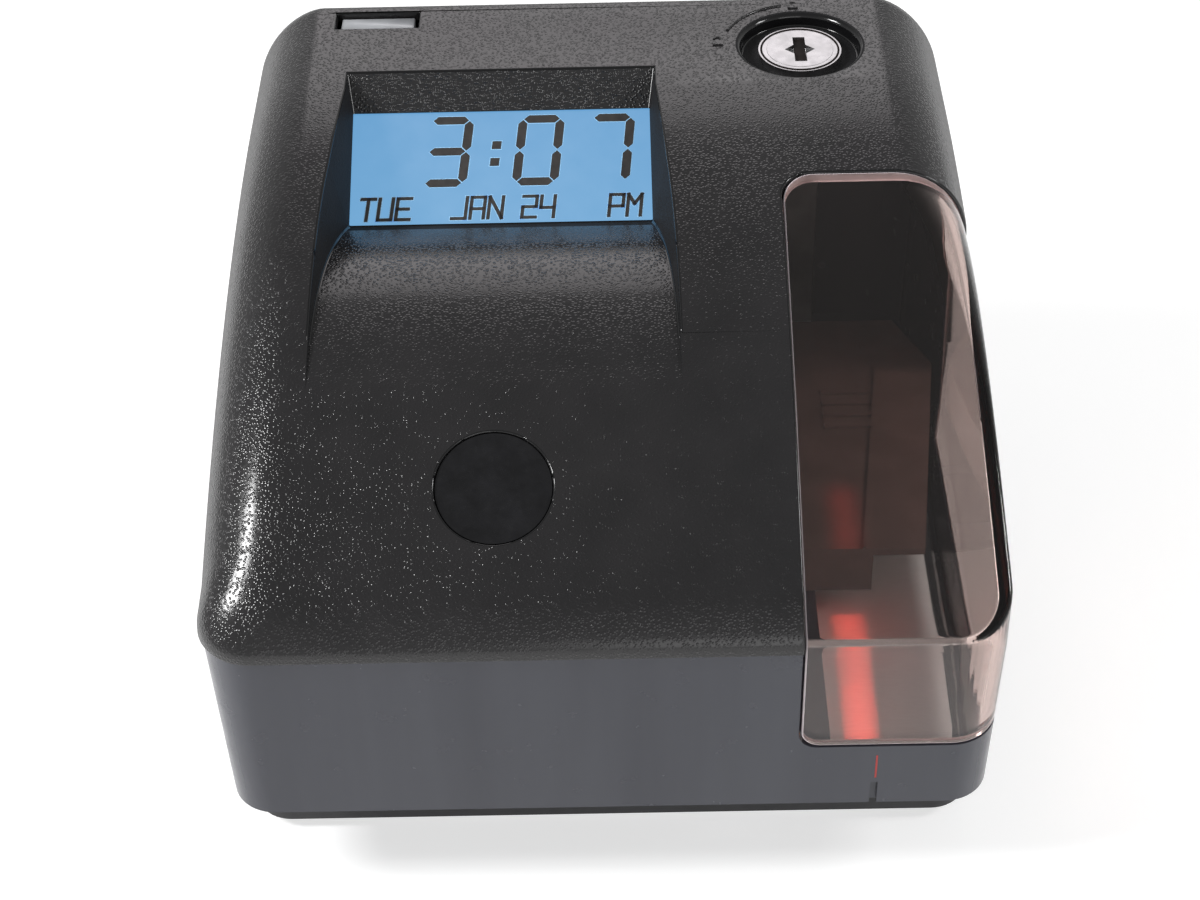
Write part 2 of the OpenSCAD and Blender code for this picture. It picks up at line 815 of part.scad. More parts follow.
module capacitors() {
  color("#27303f") for (i = [0:2])
    translate([board_left + cap_pitch * (i + 1), cap_y, board_top])
      cylinder(r = cap_r * (1 - 0.12 * i), h = cap_h * (1 - 0.17 * i));
}

module buzzer() {
  color("#111214") difference() {
    translate([buzzer_x, buzzer_y, board_top]) cylinder(r = buzzer_r, h = buzzer_h);
    translate([buzzer_x, buzzer_y, board_top + buzzer_h - 2]) cylinder(r = buzzer_r / 6, h = 3);
  }
}

module battery_holder() {
  color("#111214") translate([battery_x, battery_y, board_top]) difference() {
    cylinder(r = holder_r, h = battery_t + 1.4);
    translate([0, 0, 1]) cylinder(r = battery_r + 0.1, h = battery_t + 1);
  }
}

module backup_battery() {
  color("silver") translate([battery_x, battery_y, board_top + 1]) cylinder(r = battery_r, h = battery_t);
}

module cable_socket() {
  color("ivory")
    box(socket_x - socket_w / 2, socket_x + socket_w / 2, socket_y - socket_l / 2,
      socket_y + socket_l / 2, board_top, board_top + socket_h);
}

module key_switches() {
  color("#2a2b2e") for (i = [0:2]) translate([key_x + key_pitch * i, key_y, board_top]) difference() {
    translate([-switch_w / 2, -switch_w / 2, 0]) cube([switch_w, switch_w, switch_h]);
    translate([0, 0, switch_floor]) cylinder(r = key_stem_r + run_gap * 2, h = switch_h);
  }
}

module key(i) {
  cap_z = board_top + switch_h + key_travel + 0.6;
  translate([key_x + key_pitch * i, key_y, 0]) {
    translate([0, 0, cap_z]) cylinder(r = key_r, h = key_h);
    translate([0, 0, board_top + switch_floor + key_travel + 0.4]) cylinder(r = key_stem_r, h =
      cap_z - board_top - switch_floor - key_travel);
  }
}

module mode_key() {
  color("#c8342c") key(0);
}

module set_key() {
  color("#e4e4e0") key(1);
}

module advance_key() {
  color("#e4e4e0") key(2);
}

module display_stand() {
  color("#3a3d42") difference() {
    union() {
      for (s = [-1, 1])
        box(lcd_x + s * stand_x - stand_t / 2, lcd_x + s * stand_x + stand_t / 2, stand_front,
          stand_back, floor_z, top_z);
      box(lcd_x - stand_x, lcd_x + stand_x, stand_front, stand_back, floor_z, floor_z + stand_foot_t);
    }
    display_layer(far, far, -display_low, far);
    stand_screw_places() translate([0, 0, floor_z - 1]) cylinder(r = small_screw_r + 0.1, h =
      stand_foot_t + 2);
  }
}

module stand_screw_places() {
  for (s = [-1, 1], y = [stand_front + 5, stand_back - 5]) translate([lcd_x + s * (stand_x - 8), y, 0])
    children();
}

module display_board() {
  rim = 2 * (lcd_rim + bezel_rim + board_rim);
  color("#1f6b3a") display_layer(lcd_w + rim, lcd_h + rim, -display_low, -display_low + circuit_t);
}

module backlight_panel() {
  color("#dfe9f2") display_layer(lcd_w + 2 * lcd_rim, lcd_h + 2 * lcd_rim, -display_low + circuit_t,
    -lcd_gap - glass_t);
}

module lcd_glass() {
  color("#4c9bd6") display_layer(lcd_w + 2 * lcd_rim, lcd_h + 2 * lcd_rim, -lcd_gap - glass_t, -lcd_gap);
}

module lcd_bezel() {
  inner = 2 * (lcd_rim + 0.1);
  outer = 2 * (lcd_rim + bezel_rim);
  color("#1c1d20") difference() {
    display_layer(lcd_w + outer, lcd_h + outer, -display_low + circuit_t, -lcd_gap);
    display_layer(lcd_w + inner, lcd_h + inner, -far, far);
  }
}

module display_cable() {
  end_y = stand_front - 3.5;
  end_z = lcd_z + (end_y - lcd_y) * tan(lcd_tilt) - display_low / cos(lcd_tilt) - cable_t / 2;
  low = board_top + socket_h;
  side = [[socket_y, low], [socket_y, low + 14], [end_y, end_z - 14], [end_y, end_z]];
  color("#d9d4c8") side_plate(socket_x - cable_w / 2, socket_x + cable_w / 2,
    concat([for (p = side) [p.x - cable_t / 2, p.y]], [for (i = [len(side) - 1:-1:0])
      [side[i].x + cable_t / 2, side[i].y]]));
}

module printer_frame() {
  color("#8f9398") difference() {
    union() {
      box(frame_x, frame_x + frame_t, frame_front, frame_back, floor_z, frame_top);
      box(frame_x, frame_right, frame_front, frame_back, floor_z, floor_z + frame_t);
      box(frame_x, frame_right, frame_front, frame_front + frame_t, floor_z, frame_top);
      box(frame_x, frame_right, frame_back - frame_t, frame_back, floor_z, frame_top);
    }
    for (z = [rod_low_z, rod_high_z]) rod_y_axis(rod_x, frame_front - 1, frame_back + 1, z, rod_r + 0.02);
    rod_x_axis(frame_x - 1, frame_x + frame_t + 1, pulley_front_y, belt_z, shaft_r + 0.4);
    rod_x_axis(frame_x - 1, frame_x + frame_t + 1, pulley_back_y, belt_z, shaft_r);
    printer_screw_places() translate([0, 0, floor_z - 1]) cylinder(r = small_screw_r + 0.1, h =
      frame_t + 2);
  }
}

module printer_screw_places() {
  x = frame_x + frame_t + sheet_head_r + 0.1;
  for (y = [frame_front + 6, frame_back - 6]) translate([x, y, 0]) children();
}

module guide_rods() {
  color("silver") for (z = [rod_low_z, rod_high_z]) rod_y_axis(rod_x, frame_front, frame_back, z, rod_r);
}

module chassis_screws() {
  color("silver") {
    stand_screw_places() translate([0, 0, floor_z]) sheet_screw(stand_foot_t);
    printer_screw_places() translate([0, 0, floor_z]) sheet_screw(frame_t);
  }
}

module sheet_screw(sheet) {
  translate([0, 0, sheet]) cylinder(r = sheet_head_r, h = 1.5);
  cylinder(r = small_screw_r, h = sheet);
}

module drive_motor() {
  color("#5c6066") rod_x_axis(frame_x - motor_len, frame_x, pulley_front_y, belt_z, motor_r);
}

module pulley(y, bore) {
  difference() {
    union() {
      rod_x_axis(belt_x - pulley_w / 2, belt_x + pulley_w / 2, y, belt_z, pulley_r - belt_gap);
      rod_x_axis(belt_x + belt_w / 2 + 0.1, belt_x + pulley_w / 2, y, belt_z, pulley_r + pulley_flange);
    }
    if (bore > 0) rod_x_axis(belt_x - pulley_w, belt_x + pulley_w, y, belt_z, bore);
  }
}

module motor_pulley() {
  color("#e6dfc8") {
    pulley(pulley_front_y, 0);
    rod_x_axis(frame_x + 0.3, belt_x, pulley_front_y, belt_z, shaft_r);
  }
}

module idler_pulley() {
  color("#e6dfc8") pulley(pulley_back_y, shaft_r + run_gap);
}

module idler_pin() {
  color("silver") rod_x_axis(frame_x, belt_x + pulley_w / 2 + 0.5, pulley_back_y, belt_z, shaft_r);
}

module belt_loop(r) {
  for (y = [pulley_front_y, pulley_back_y]) translate([y, belt_z]) circle(r);
  translate([pulley_front_y, belt_z - r]) square([pulley_back_y - pulley_front_y, 2 * r]);
}

module drive_belt() {
  color("#17181a") translate([belt_x - belt_w / 2, 0, 0]) rotate([90, 0, 90]) linear_extrude(belt_w)
    difference() {
    belt_loop(pulley_r + belt_t);
    belt_loop(pulley_r);
  }
}

module carriage() {
  front = head_y - carriage_len / 2;
  back = head_y + carriage_len / 2;
  left = rod_x - carriage_hw;
  grip = belt_z + pulley_r + belt_t / 2;
  color("#30343a") difference() {
    union() {
      box(left, rod_x + carriage_hw, front, back, carriage_low, deck_z);
      box(rod_x, print_x + deck_reach, front, back, deck_z - deck_t, deck_z);
      for (s = [-1, 1])
        box(belt_x - belt_w / 2, left + 1, head_y - 2.5, head_y + 2.5, grip + s * 1.9 - 1,
          grip + s * 1.9 + 1);
    }
    for (z = [rod_low_z, rod_high_z]) rod_y_axis(rod_x, front - 1, back + 1, z, rod_r + run_gap);
  }
}

module print_head() {
  fin = 1.6;
  top = deck_z - deck_t;
  color("#a8abb0") translate([print_x, head_y, 0]) {
    translate([0, 0, head_low]) cylinder(r = head_r - fin, h = top - head_low);
    for (i = [0:3]) translate([0, 0, head_low + i * (top - head_low - fin) / 3]) cylinder(r = head_r, h =
      fin);
  }
}

module print_nose() {
  color("#c3a14e")
    box(print_x - nose_w / 2, print_x + nose_w / 2, head_y - nose_l / 2, head_y + nose_l / 2, nose_tip,
      head_low);
}

// Plan of the cassette with its cut back corner, drawn in by a wall; the tray is open at the front right
module cassette_plan(inset, notch) {
  x0 = cassette_left + inset;
  x1 = cassette_right - inset;
  y0 = cassette_front + inset;
  y1 = cassette_back - inset;
  step = print_x + 1.5 - inset;
  polygon(concat(
    [[x0, y0]],
    notch > 0 ? [[step, y0], [step, y0 + notch]] : [],
    [[cassette_side(y0 + notch) - inset, y0 + notch], [x1, y1 - cassette_cut],
     [x1 - cassette_cut * 0.45, y1], [x0, y1]]));
}

// Right side of the cassette, which draws in towards the front
function cassette_side(y) = cassette_right - cassette_taper * (taper_len - y + cassette_front) / taper_len;

module cassette_body() {
  tray_h = cassette_h - lid_t;
  color("#2a211d") {
    difference() {
      translate([0, 0, deck_z]) linear_extrude(tray_h) cassette_plan(0, tray_notch);
      translate([0, 0, deck_z + cassette_wall]) linear_extrude(tray_h)
        cassette_plan(cassette_wall, tray_notch);
    }
    for (y = [arm_front, arm_back]) box(print_x - arm_w / 2, print_x + arm_w / 2, y, y + arm_t, arm_low,
      deck_z + 0.5);
  }
}

// Thin rib along the lid, beside the tapered side: distance from that side, and y
lid_rib = [[13.4, cassette_front], [12.8, cassette_front], [12.8, cassette_back - cassette_cut],
  [13.4, cassette_back - cassette_cut]];

module cassette_lid() {
  top = deck_z + cassette_h;
  color("#2a211d") {
    difference() {
      translate([0, 0, top - lid_t]) linear_extrude(lid_t) cassette_plan(0, 0);
      translate([knob_x, knob_y, top - 2 * lid_t]) cylinder(r = knob_spindle_r + run_gap, h = 3 * lid_t);
    }
    translate([0, 0, top - 0.5]) linear_extrude(1.1)
      polygon([for (q = lid_rib) [cassette_side(q[1]) - q[0], q[1]]]);
    for (i = [0:3]) box(print_x - 6, print_x + 5, head_y - 6 + 4 * i, head_y - 4.6 + 4 * i, top, top + 0.7);
  }
}

module ink_ribbon() {
  w = arm_w - 2 * ribbon_in;
  color("#1a1420") box(print_x - w / 2, print_x + w / 2, arm_front, arm_back + arm_t, arm_low - ribbon_t,
    arm_low);
}

module sight_lamp() {
  w = arm_w - 2 * ribbon_in;
  color("#d6281e") box(print_x - w / 2, print_x + w / 2, arm_front - lamp_t, arm_front, arm_low + 1,
    arm_low + 1 + lamp_h);
}

module ribbon_knob() {
  top = deck_z + cassette_h;
  color("#3b4a8f") translate([knob_x, knob_y, 0]) difference() {
    union() {
      translate([0, 0, top + 0.3]) cylinder(r = knob_r, h = knob_h);
      translate([0, 0, deck_z + cassette_wall + 0.4]) cylinder(r = knob_spindle_r, h =
        cassette_h - cassette_wall);
    }
    for (i = [0:11]) rotate(30 * i) translate([knob_r + 0.5, 0, top + 1]) cylinder(r = 1, h = knob_h + 1);
  }
}

module lever_bracket() {
  color("#8f9398") difference() {
    for (s = [-1, 1]) box(lever_x + s * (lever_slot / 2 + cheek_t / 2) - cheek_t / 2,
      lever_x + s * (lever_slot / 2 + cheek_t / 2) + cheek_t / 2, lever_y - cheek_l / 2,
        lever_y + cheek_l / 2, floor_z, floor_z + cheek_h);
    rod_x_axis(lever_x - lever_slot, lever_x + lever_slot, lever_y, lever_z, lever_pin_r);
  }
}

module lever_pin() {
  reach = lever_slot / 2 + cheek_t;
  color("silver") rod_x_axis(lever_x - reach, lever_x + reach, lever_y, lever_z, lever_pin_r);
}

module card_lever() {
  color("ivory") difference() {
    union() {
      rod_x_axis(lever_x - lever_w / 2, lever_x + lever_w / 2, lever_y, lever_z, lever_hub_r);
      box(lever_x - 1.5, lever_x + 1.5, lever_y - 1.2, lever_y + 1.2, lever_tip, lever_z);
    }
    rod_x_axis(lever_x - lever_w, lever_x + lever_w, lever_y, lever_z, lever_pin_r + run_gap);
  }
}

module top_cover() {
  color("#17171a") difference() {
    cover_form(0, seam_z + seam_gap);
    difference() {
      cover_form(cover_wall, seam_z - 5);
      recess(recess_wall);
      window_rim();
      translate([lock_x, lock_y, well_z - well_floor_t]) cylinder(r = well_r + cover_wall, h = far);
      at_badge() translate([0, 0, -badge_depth - cover_wall]) cylinder(r = badge_r + cover_wall, h = far);
    }
    recess(0);
    display_layer(lcd_w + 24, lcd_h + 22, -20, -lcd_gap / 4);
    translate([0, 0, -far / 2]) linear_extrude(far) window_plan(0);
    translate([lock_x, lock_y, well_z]) cylinder(r = well_r, h = far);
    translate([lock_x, lock_y, barrel_low]) cylinder(r = lock_barrel_r + 0.1, h = far);
    at_badge() translate([0, 0, -badge_depth]) cylinder(r = badge_r, h = far);
    box(slot_x - slot_w / 2, slot_x + slot_w / 2, slot_y - slot_l / 2, slot_y + slot_l / 2, seam_z,
      top_z + 1);
  }
}

module at_badge() {
  translate([lcd_x, badge_y, arch(badge_y)]) rotate([badge_slope, 0, 0]) children();
}

// Rim wall of the cover round the window, down to the window's flange
module window_rim() {
  difference() {
    translate([0, 0, seam_z]) linear_extrude(far) window_plan(cover_wall);
    side_plate(win_x - flange_w - 1, half_w + 1, concat(window_top(window_t), [[win_back + far, 0],
      [-far, 0], [-far, win_front_top - window_t]]));
  }
}

module smoked_window() {
  color("#4a3a36", 0.6) {
    difference() {
      window_solid();
      intersection() {
        case_form(window_t, side_lean * cover_h);
        window_form(window_t);
      }
    }
    window_flange();
  }
}

// Strip along the window's left edge that is bonded under the rim of the cover
module window_flange() {
  upper = window_top(window_t);
  lower = window_top(window_t + flange_t);
  side_plate(win_x - flange_w, win_x + flange_lap,
    concat([for (i = [1:win_steps]) upper[i]], [for (i = [win_steps:-1:1]) lower[i]]));
}

module window_solid() {
  intersection() {
    case_form(0, side_lean * cover_h);
    window_block(-win_gap);
    window_form(0);
  }
}

module badge_disc() {
  color("#3c3d42") at_badge() translate([0, 0, -badge_depth]) cylinder(r = badge_r - fit_gap, h = badge_t);
}

module lock_shell() {
  color("#d9dadd") translate([lock_x, lock_y, 0]) difference() {
    union() {
      translate([0, 0, well_z]) cylinder(r = lock_flange_r, h = flange_h);
      translate([0, 0, barrel_low]) cylinder(r = lock_barrel_r, h = barrel_len);
    }
    translate([0, 0, barrel_low - 1]) cylinder(r = plug_r + run_gap, h = far);
    translate([0, 0, plug_seat]) cylinder(r = plug_head_r + run_gap, h = far);
  }
}

module lock_nut() {
  color("silver") translate([lock_x, lock_y, well_z - well_floor_t - nut_h]) difference() {
    cylinder(r = nut_r, h = nut_h, $fn = 6);
    translate([0, 0, -1]) cylinder(r = lock_barrel_r + 0.05, h = nut_h + 2);
  }
}

module lock_plug() {
  color("#e4e5e8") translate([lock_x, lock_y, 0]) difference() {
    union() {
      translate([0, 0, plug_seat + run_gap]) cylinder(r = plug_head_r, h = plug_head_h);
      translate([0, 0, plug_low]) cylinder(r = plug_r, h = plug_seat + 0.5 - plug_low);
      translate([-tail_w / 2, -tail_w / 2, cam_low]) cube([tail_w, tail_w, plug_low - cam_low + 0.5]);
    }
    translate([-key_slot_w / 2, -key_slot_l / 2, plug_seat - 4]) cube([key_slot_w, key_slot_l, far]);
    translate([0, 0, flange_top - wing_depth]) linear_extrude(far) scale([wing_w, wing_l]) rotate(45)
      square(sqrt(0.5), center = true);
    translate([0, 0, cam_low - 1]) cylinder(r = small_screw_r + 0.05, h = 8);
  }
}

module lock_cam() {
  color("#b8bbc0") translate([lock_x, lock_y, cam_low]) difference() {
    union() {
      cylinder(r = cam_w / 2, h = cam_t);
      translate([-cam_w / 4, 0, 0]) cube([cam_w / 2, cam_len, cam_t]);
    }
    translate([-tail_w / 2 - 0.05, -tail_w / 2 - 0.05, -1]) cube([tail_w + 0.1, tail_w + 0.1, cam_t + 2]);
  }
}

module cam_screw() {
  color("silver") translate([lock_x, lock_y, cam_low]) mirror([0, 0, 1]) pan_screw(small_screw_r, 4.4,
    1.8, 6);
}

base_shell();
bottom_plate();
bottom_screws();
rubber_feet();
platen_plate();
anvil_block();
rear_spacer();
frame_screws();
lower_housing();
power_inlet();
inlet_nut();
latch_post();
lock_keeper();
main_board();
board_standoffs();
board_screws();
board_chips();
capacitors();
buzzer();
battery_holder();
backup_battery();
cable_socket();
key_switches();
mode_key();
set_key();
advance_key();
display_stand();
display_board();
backlight_panel();
lcd_glass();
lcd_bezel();
display_cable();
printer_frame();
guide_rods();
chassis_screws();
drive_motor();
motor_pulley();
idler_pulley();
idler_pin();
drive_belt();
carriage();
print_head();
print_nose();
cassette_body();
cassette_lid();
ink_ribbon();
sight_lamp();
ribbon_knob();
lever_bracket();
lever_pin();
card_lever();
top_cover();
smoked_window();
badge_disc();
lock_shell();
lock_nut();
lock_plug();
lock_cam();
cam_screw();
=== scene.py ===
import json
import math

import bmesh
import bpy
from mathutils import Matrix, Vector


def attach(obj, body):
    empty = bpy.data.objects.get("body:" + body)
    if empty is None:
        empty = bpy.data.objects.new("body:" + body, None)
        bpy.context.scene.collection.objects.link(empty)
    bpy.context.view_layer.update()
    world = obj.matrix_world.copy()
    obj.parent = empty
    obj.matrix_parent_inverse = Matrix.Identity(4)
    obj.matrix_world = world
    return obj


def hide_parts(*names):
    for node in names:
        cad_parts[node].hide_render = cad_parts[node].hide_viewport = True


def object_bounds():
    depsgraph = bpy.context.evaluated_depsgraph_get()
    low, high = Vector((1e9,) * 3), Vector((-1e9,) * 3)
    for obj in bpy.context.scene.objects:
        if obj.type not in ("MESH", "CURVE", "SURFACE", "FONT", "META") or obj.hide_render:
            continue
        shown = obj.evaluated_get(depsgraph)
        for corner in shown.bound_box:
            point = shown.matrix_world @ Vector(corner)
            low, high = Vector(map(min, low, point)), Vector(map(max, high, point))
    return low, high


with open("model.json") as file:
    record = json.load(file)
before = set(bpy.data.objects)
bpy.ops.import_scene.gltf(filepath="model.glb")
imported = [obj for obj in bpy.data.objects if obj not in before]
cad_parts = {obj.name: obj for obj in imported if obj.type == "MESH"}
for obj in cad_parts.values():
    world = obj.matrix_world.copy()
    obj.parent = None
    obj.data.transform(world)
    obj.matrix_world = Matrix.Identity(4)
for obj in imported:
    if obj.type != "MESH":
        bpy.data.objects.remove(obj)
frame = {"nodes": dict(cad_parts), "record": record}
nodes = frame["nodes"]
cad_box = [list(corner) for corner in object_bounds()]
MM = 0.001

# Sizes in millimetres as in the part's source, placed from the box of the frame
HALF_W, HALF_D, TOP_Z = (round(side / MM, 3) for side in cad_box[1])
CORNER_R = 12.0
COVER_H = 52.0
HOUSING_H = 46.0
SEAM_Z = TOP_Z - COVER_H
ROOF_Z = SEAM_Z - HOUSING_H
SEAM_GAP = 0.4
SEAM_STEP = 0.8
HOUSING_DRAFT = 1.6
ARCH_R = 235.0
FLAT_LEN = 35.5
CREST_Y = HALF_D - FLAT_LEN
COVER_WALL = 2.4
SIDE_R = 17.0
FRONT_R = 7.0
BACK_R = 7.0
LEAN = 0.05
WIN_W = 43.5
WIN_LEN = 100.0
WIN_SILL = 18.1
WIN_RISE = 1.8
WIN_X = HALF_W - WIN_W
WIN_BACK = WIN_LEN - HALF_D
WIN_BOTTOM = ROOF_Z + WIN_SILL
WIN_FRONT_TOP = SEAM_Z + WIN_RISE
WIN_CORNER = 4.0
WIN_BACK_CORNER = 6.8
WIN_GAP = 0.25
WIN_BULGE = 3.0
WIN_T = 2.8
FLANGE_W = 8.0
FLANGE_T = 2.0
LCD_OFF = 0.45
LCD_FROM_BACK = 55.0
LCD_DEPTH = 13.7
LCD = Vector(((WIN_X - HALF_W) / 2 - LCD_OFF, HALF_D - LCD_FROM_BACK, TOP_Z - LCD_DEPTH))
LCD_W = 67.9
LCD_H = 29.7
LCD_TILT = math.radians(25)
LCD_GAP = 0.4
SILL_Y = LCD.y - LCD_H / 2 * math.cos(LCD_TILT)
SILL_LEN = 60.5
SILL_LIP = 0.4
DRAFT = math.tan(math.radians(10))
RECESS_WALL = 2.2
RECESS_FRONT_HW = 38.8
BADGE_R = 12.1
BADGE_FROM_FRONT = 26.9
BADGE_Y = BADGE_FROM_FRONT - HALF_D
BADGE_DEPTH = 1.6
LOCK_FROM_SIDE = 36.0
LOCK_FROM_BACK = 27.0
WELL_DEPTH = 3.2
LOCK = Vector((HALF_W - LOCK_FROM_SIDE, HALF_D - LOCK_FROM_BACK, TOP_Z - WELL_DEPTH))
WELL_R = 13.65
WELL_FLOOR = 3.4
BARREL_R = 8.7
SLOT_FROM_SIDE = 31.1
SLOT_FROM_BACK = 12.3
SLOT = Vector((SLOT_FROM_SIDE - HALF_W, HALF_D - SLOT_FROM_BACK, 0))
SLOT_W = 19.6
SLOT_L = 7.1
PRINT_IN = 16.3
PRINT_X = WIN_X + PRINT_IN

# Sizes that only shape the meshes here, and angles in degrees
REACH = 300.0
VOID_LOW = SEAM_Z - 5
CORNER_SHARE = 0.7
CORNER_LEAST = 2.5
SIDE_LEAST = 2.0
INSET_DROP = 0.6
INSET_RISE = 1.12
WIN_EDGE = 1.0
EDGE_LEAST = 0.3
FLANGE_LAP = 0.3
STRIP_BITE = 0.1
RIM_SIDE = 9.0
RECESS_OVER = 1.0
RECESS_RISE = 9.0
SILL_RAMP = 6.0
SKIM = 0.06
END_SIDE = 4.0
WELL_FLARE = 1.3
SPACE_SIDE = 12.0
SPACE_END = 11.0
SPACE_DEPTH = 20.0
COVER_BEVEL = 0.45
PANE_BEVEL = 0.4
LATCH_BEVEL = 0.3
SHADE_ANGLE = 28
NODE_ANGLE = 32


# Meshes

def mesh_object(name, verts, faces, scale=MM):
    mesh = bpy.data.meshes.new(name)
    mesh.from_pydata([Vector(v) * scale for v in verts], [], faces)
    mesh.validate()
    obj = bpy.data.objects.new(name, mesh)
    bpy.context.scene.collection.objects.link(obj)
    return obj


def box_object(name, low, high):
    verts = [(x, y, z) for z in (low[2], high[2]) for y in (low[1], high[1]) for x in (low[0], high[0])]
    faces = [(0, 2, 3, 1), (4, 5, 7, 6), (0, 1, 5, 4), (2, 6, 7, 3), (0, 4, 6, 2), (1, 3, 7, 5)]
    return mesh_object(name, verts, faces)


def prism_object(name, outline, low, high, place=None):
    """A straight prism over an outline, which runs anticlockwise seen from above."""
    n = len(outline)
    verts = [Vector((x, y, low)) for x, y in outline] + [Vector((x, y, high)) for x, y in outline]
    if place:
        verts = [place @ v for v in verts]
    faces = [tuple(range(n - 1, -1, -1)), tuple(range(n, 2 * n))]
    faces += [(i, (i + 1) % n, n + (i + 1) % n, n + i) for i in range(n)]
    return mesh_object(name, verts, faces)


def circle(cx, cy, r, steps=96):
    return [(cx + r * math.cos(2 * math.pi * i / steps), cy + r * math.sin(2 * math.pi * i / steps))
            for i in range(steps)]


def combine(target, operation, others):
    """Joins, cuts or intersects the target with other objects and deletes these."""
    for other in others:
        step = target.modifiers.new("combine", "BOOLEAN")
        step.operation = operation
        step.solver = "EXACT"
        step.object = other
    bpy.context.view_layer.update()
    graph = bpy.context.evaluated_depsgraph_get()
    mesh = bpy.data.meshes.new_from_object(target.evaluated_get(graph))
    target.modifiers.clear()
    target.data = mesh
    for other in others:
        bpy.data.objects.remove(other)
    return target


def cut(target, cutters):
    return combine(target, "DIFFERENCE", cutters)


def weigh_edges(obj, angle, left_sharp):
    """Marks the edges to be rounded, apart from those in the place that stays sharp."""
    mesh = bmesh.new()
    mesh.from_mesh(obj.data)
    weight = mesh.edges.layers.float.new("bevel_weight_edge")
    for edge in mesh.edges:
        middle = (edge.verts[0].co + edge.verts[1].co) / 2 / MM
        if edge.is_manifold and edge.calc_face_angle() > math.radians(angle) and not left_sharp(middle):
            edge[weight] = 1.0
    mesh.to_mesh(obj.data)
    mesh.free()


def soften(obj, width, angle=40, segments=2, finish=-1, left_sharp=None):
    """Rounds a piece's sharp edges by a width in millimetres, with a finish of their own if one is given."""
    bevel = obj.modifiers.new("soft_edges", "BEVEL")
    bevel.width = width * MM
    bevel.segments = segments
    bevel.limit_method = "WEIGHT" if left_sharp else "ANGLE"
    bevel.angle_limit = math.radians(angle)
    if left_sharp:
        weigh_edges(obj, angle, left_sharp)
    bevel.harden_normals = True
    bevel.material = finish
    bevel.use_clamp_overlap = False


def smooth(obj, angle):
    obj.data.shade_smooth()
    obj.data.set_sharp_from_angle(angle=math.radians(angle))


def weld(obj):
    """Joins the faces of a solid along their shared edges."""
    obj.modifiers.new("weld", "WELD").merge_threshold = 0.001 * MM


def join_facets(obj, angle):
    """Lets the facets of a rounded corner shade as one surface."""
    weld(obj)
    split = obj.modifiers.new("split", "EDGE_SPLIT")
    split.split_angle = math.radians(angle)


# The cover

def arch(y):
    if y >= CREST_Y:
        return TOP_Z
    return TOP_Z - ARCH_R + math.sqrt(ARCH_R ** 2 - (CREST_Y - y) ** 2)


def half_outline(hw, y0, y1, r, corner, side):
    points = []
    for i in range(corner + 1):
        a = math.radians(-90 + 90 * i / corner)
        points.append((hw - r + r * math.cos(a), y0 + r + r * math.sin(a)))
    for i in range(1, side):
        points.append((hw, y0 + r + (y1 - y0 - 2 * r) * i / side))
    for i in range(corner + 1):
        a = math.radians(90 * i / corner)
        points.append((hw - r + r * math.cos(a), y1 - r + r * math.sin(a)))
    return points


def whole_outline(half):
    return half + [(-x, y) for x, y in reversed(half)]


def ring_object(name, rings):
    """A closed form over a stack of rings, with a lid of strips from side to side."""
    n = len(rings[0])
    last = len(rings) - 1
    faces = [tuple(range(n - 1, -1, -1))]
    for k in range(last):
        for i in range(n):
            j = (i + 1) % n
            faces.append((k * n + i, k * n + j, (k + 1) * n + j, (k + 1) * n + i))
    top = last * n
    for i in range(n // 2 - 1):
        faces.append((top + i, top + i + 1, top + n - 2 - i, top + n - 1 - i))
    return mesh_object(name, [p for ring in rings for p in ring], faces)


def leaning(x, y, z):
    return (x * (1 - LEAN * max(0, z - SEAM_Z) / HALF_W), y, z)


def cover_object(name, inset, low, corner, side, edge):
    """The arched form of the cover, drawn in by a wall."""
    half = half_outline(HALF_W - inset, -HALF_D + inset, HALF_D - inset, CORNER_R - inset, corner, side)
    rings = [[(x, y, low) for x, y in whole_outline(half)]]
    for k in range(edge + 1):
        a = math.radians(90 * k / edge)
        e = 1 - math.cos(a)
        half = half_outline(HALF_W - inset - e * (SIDE_R - inset), -HALF_D + inset + e * FRONT_R,
                            HALF_D - inset - e * (BACK_R - inset),
                            max(CORNER_R - inset - CORNER_SHARE * e * SIDE_R, CORNER_LEAST), corner, side)
        ring = []
        for x, y in whole_outline(half):
            drop = min(SIDE_R, arch(y) - SEAM_Z - SIDE_LEAST) - inset * INSET_DROP
            ring.append(leaning(x, y, arch(y) - inset * INSET_RISE - drop * (1 - math.sin(a))))
        rings.append(ring)
    return ring_object(name, rings)


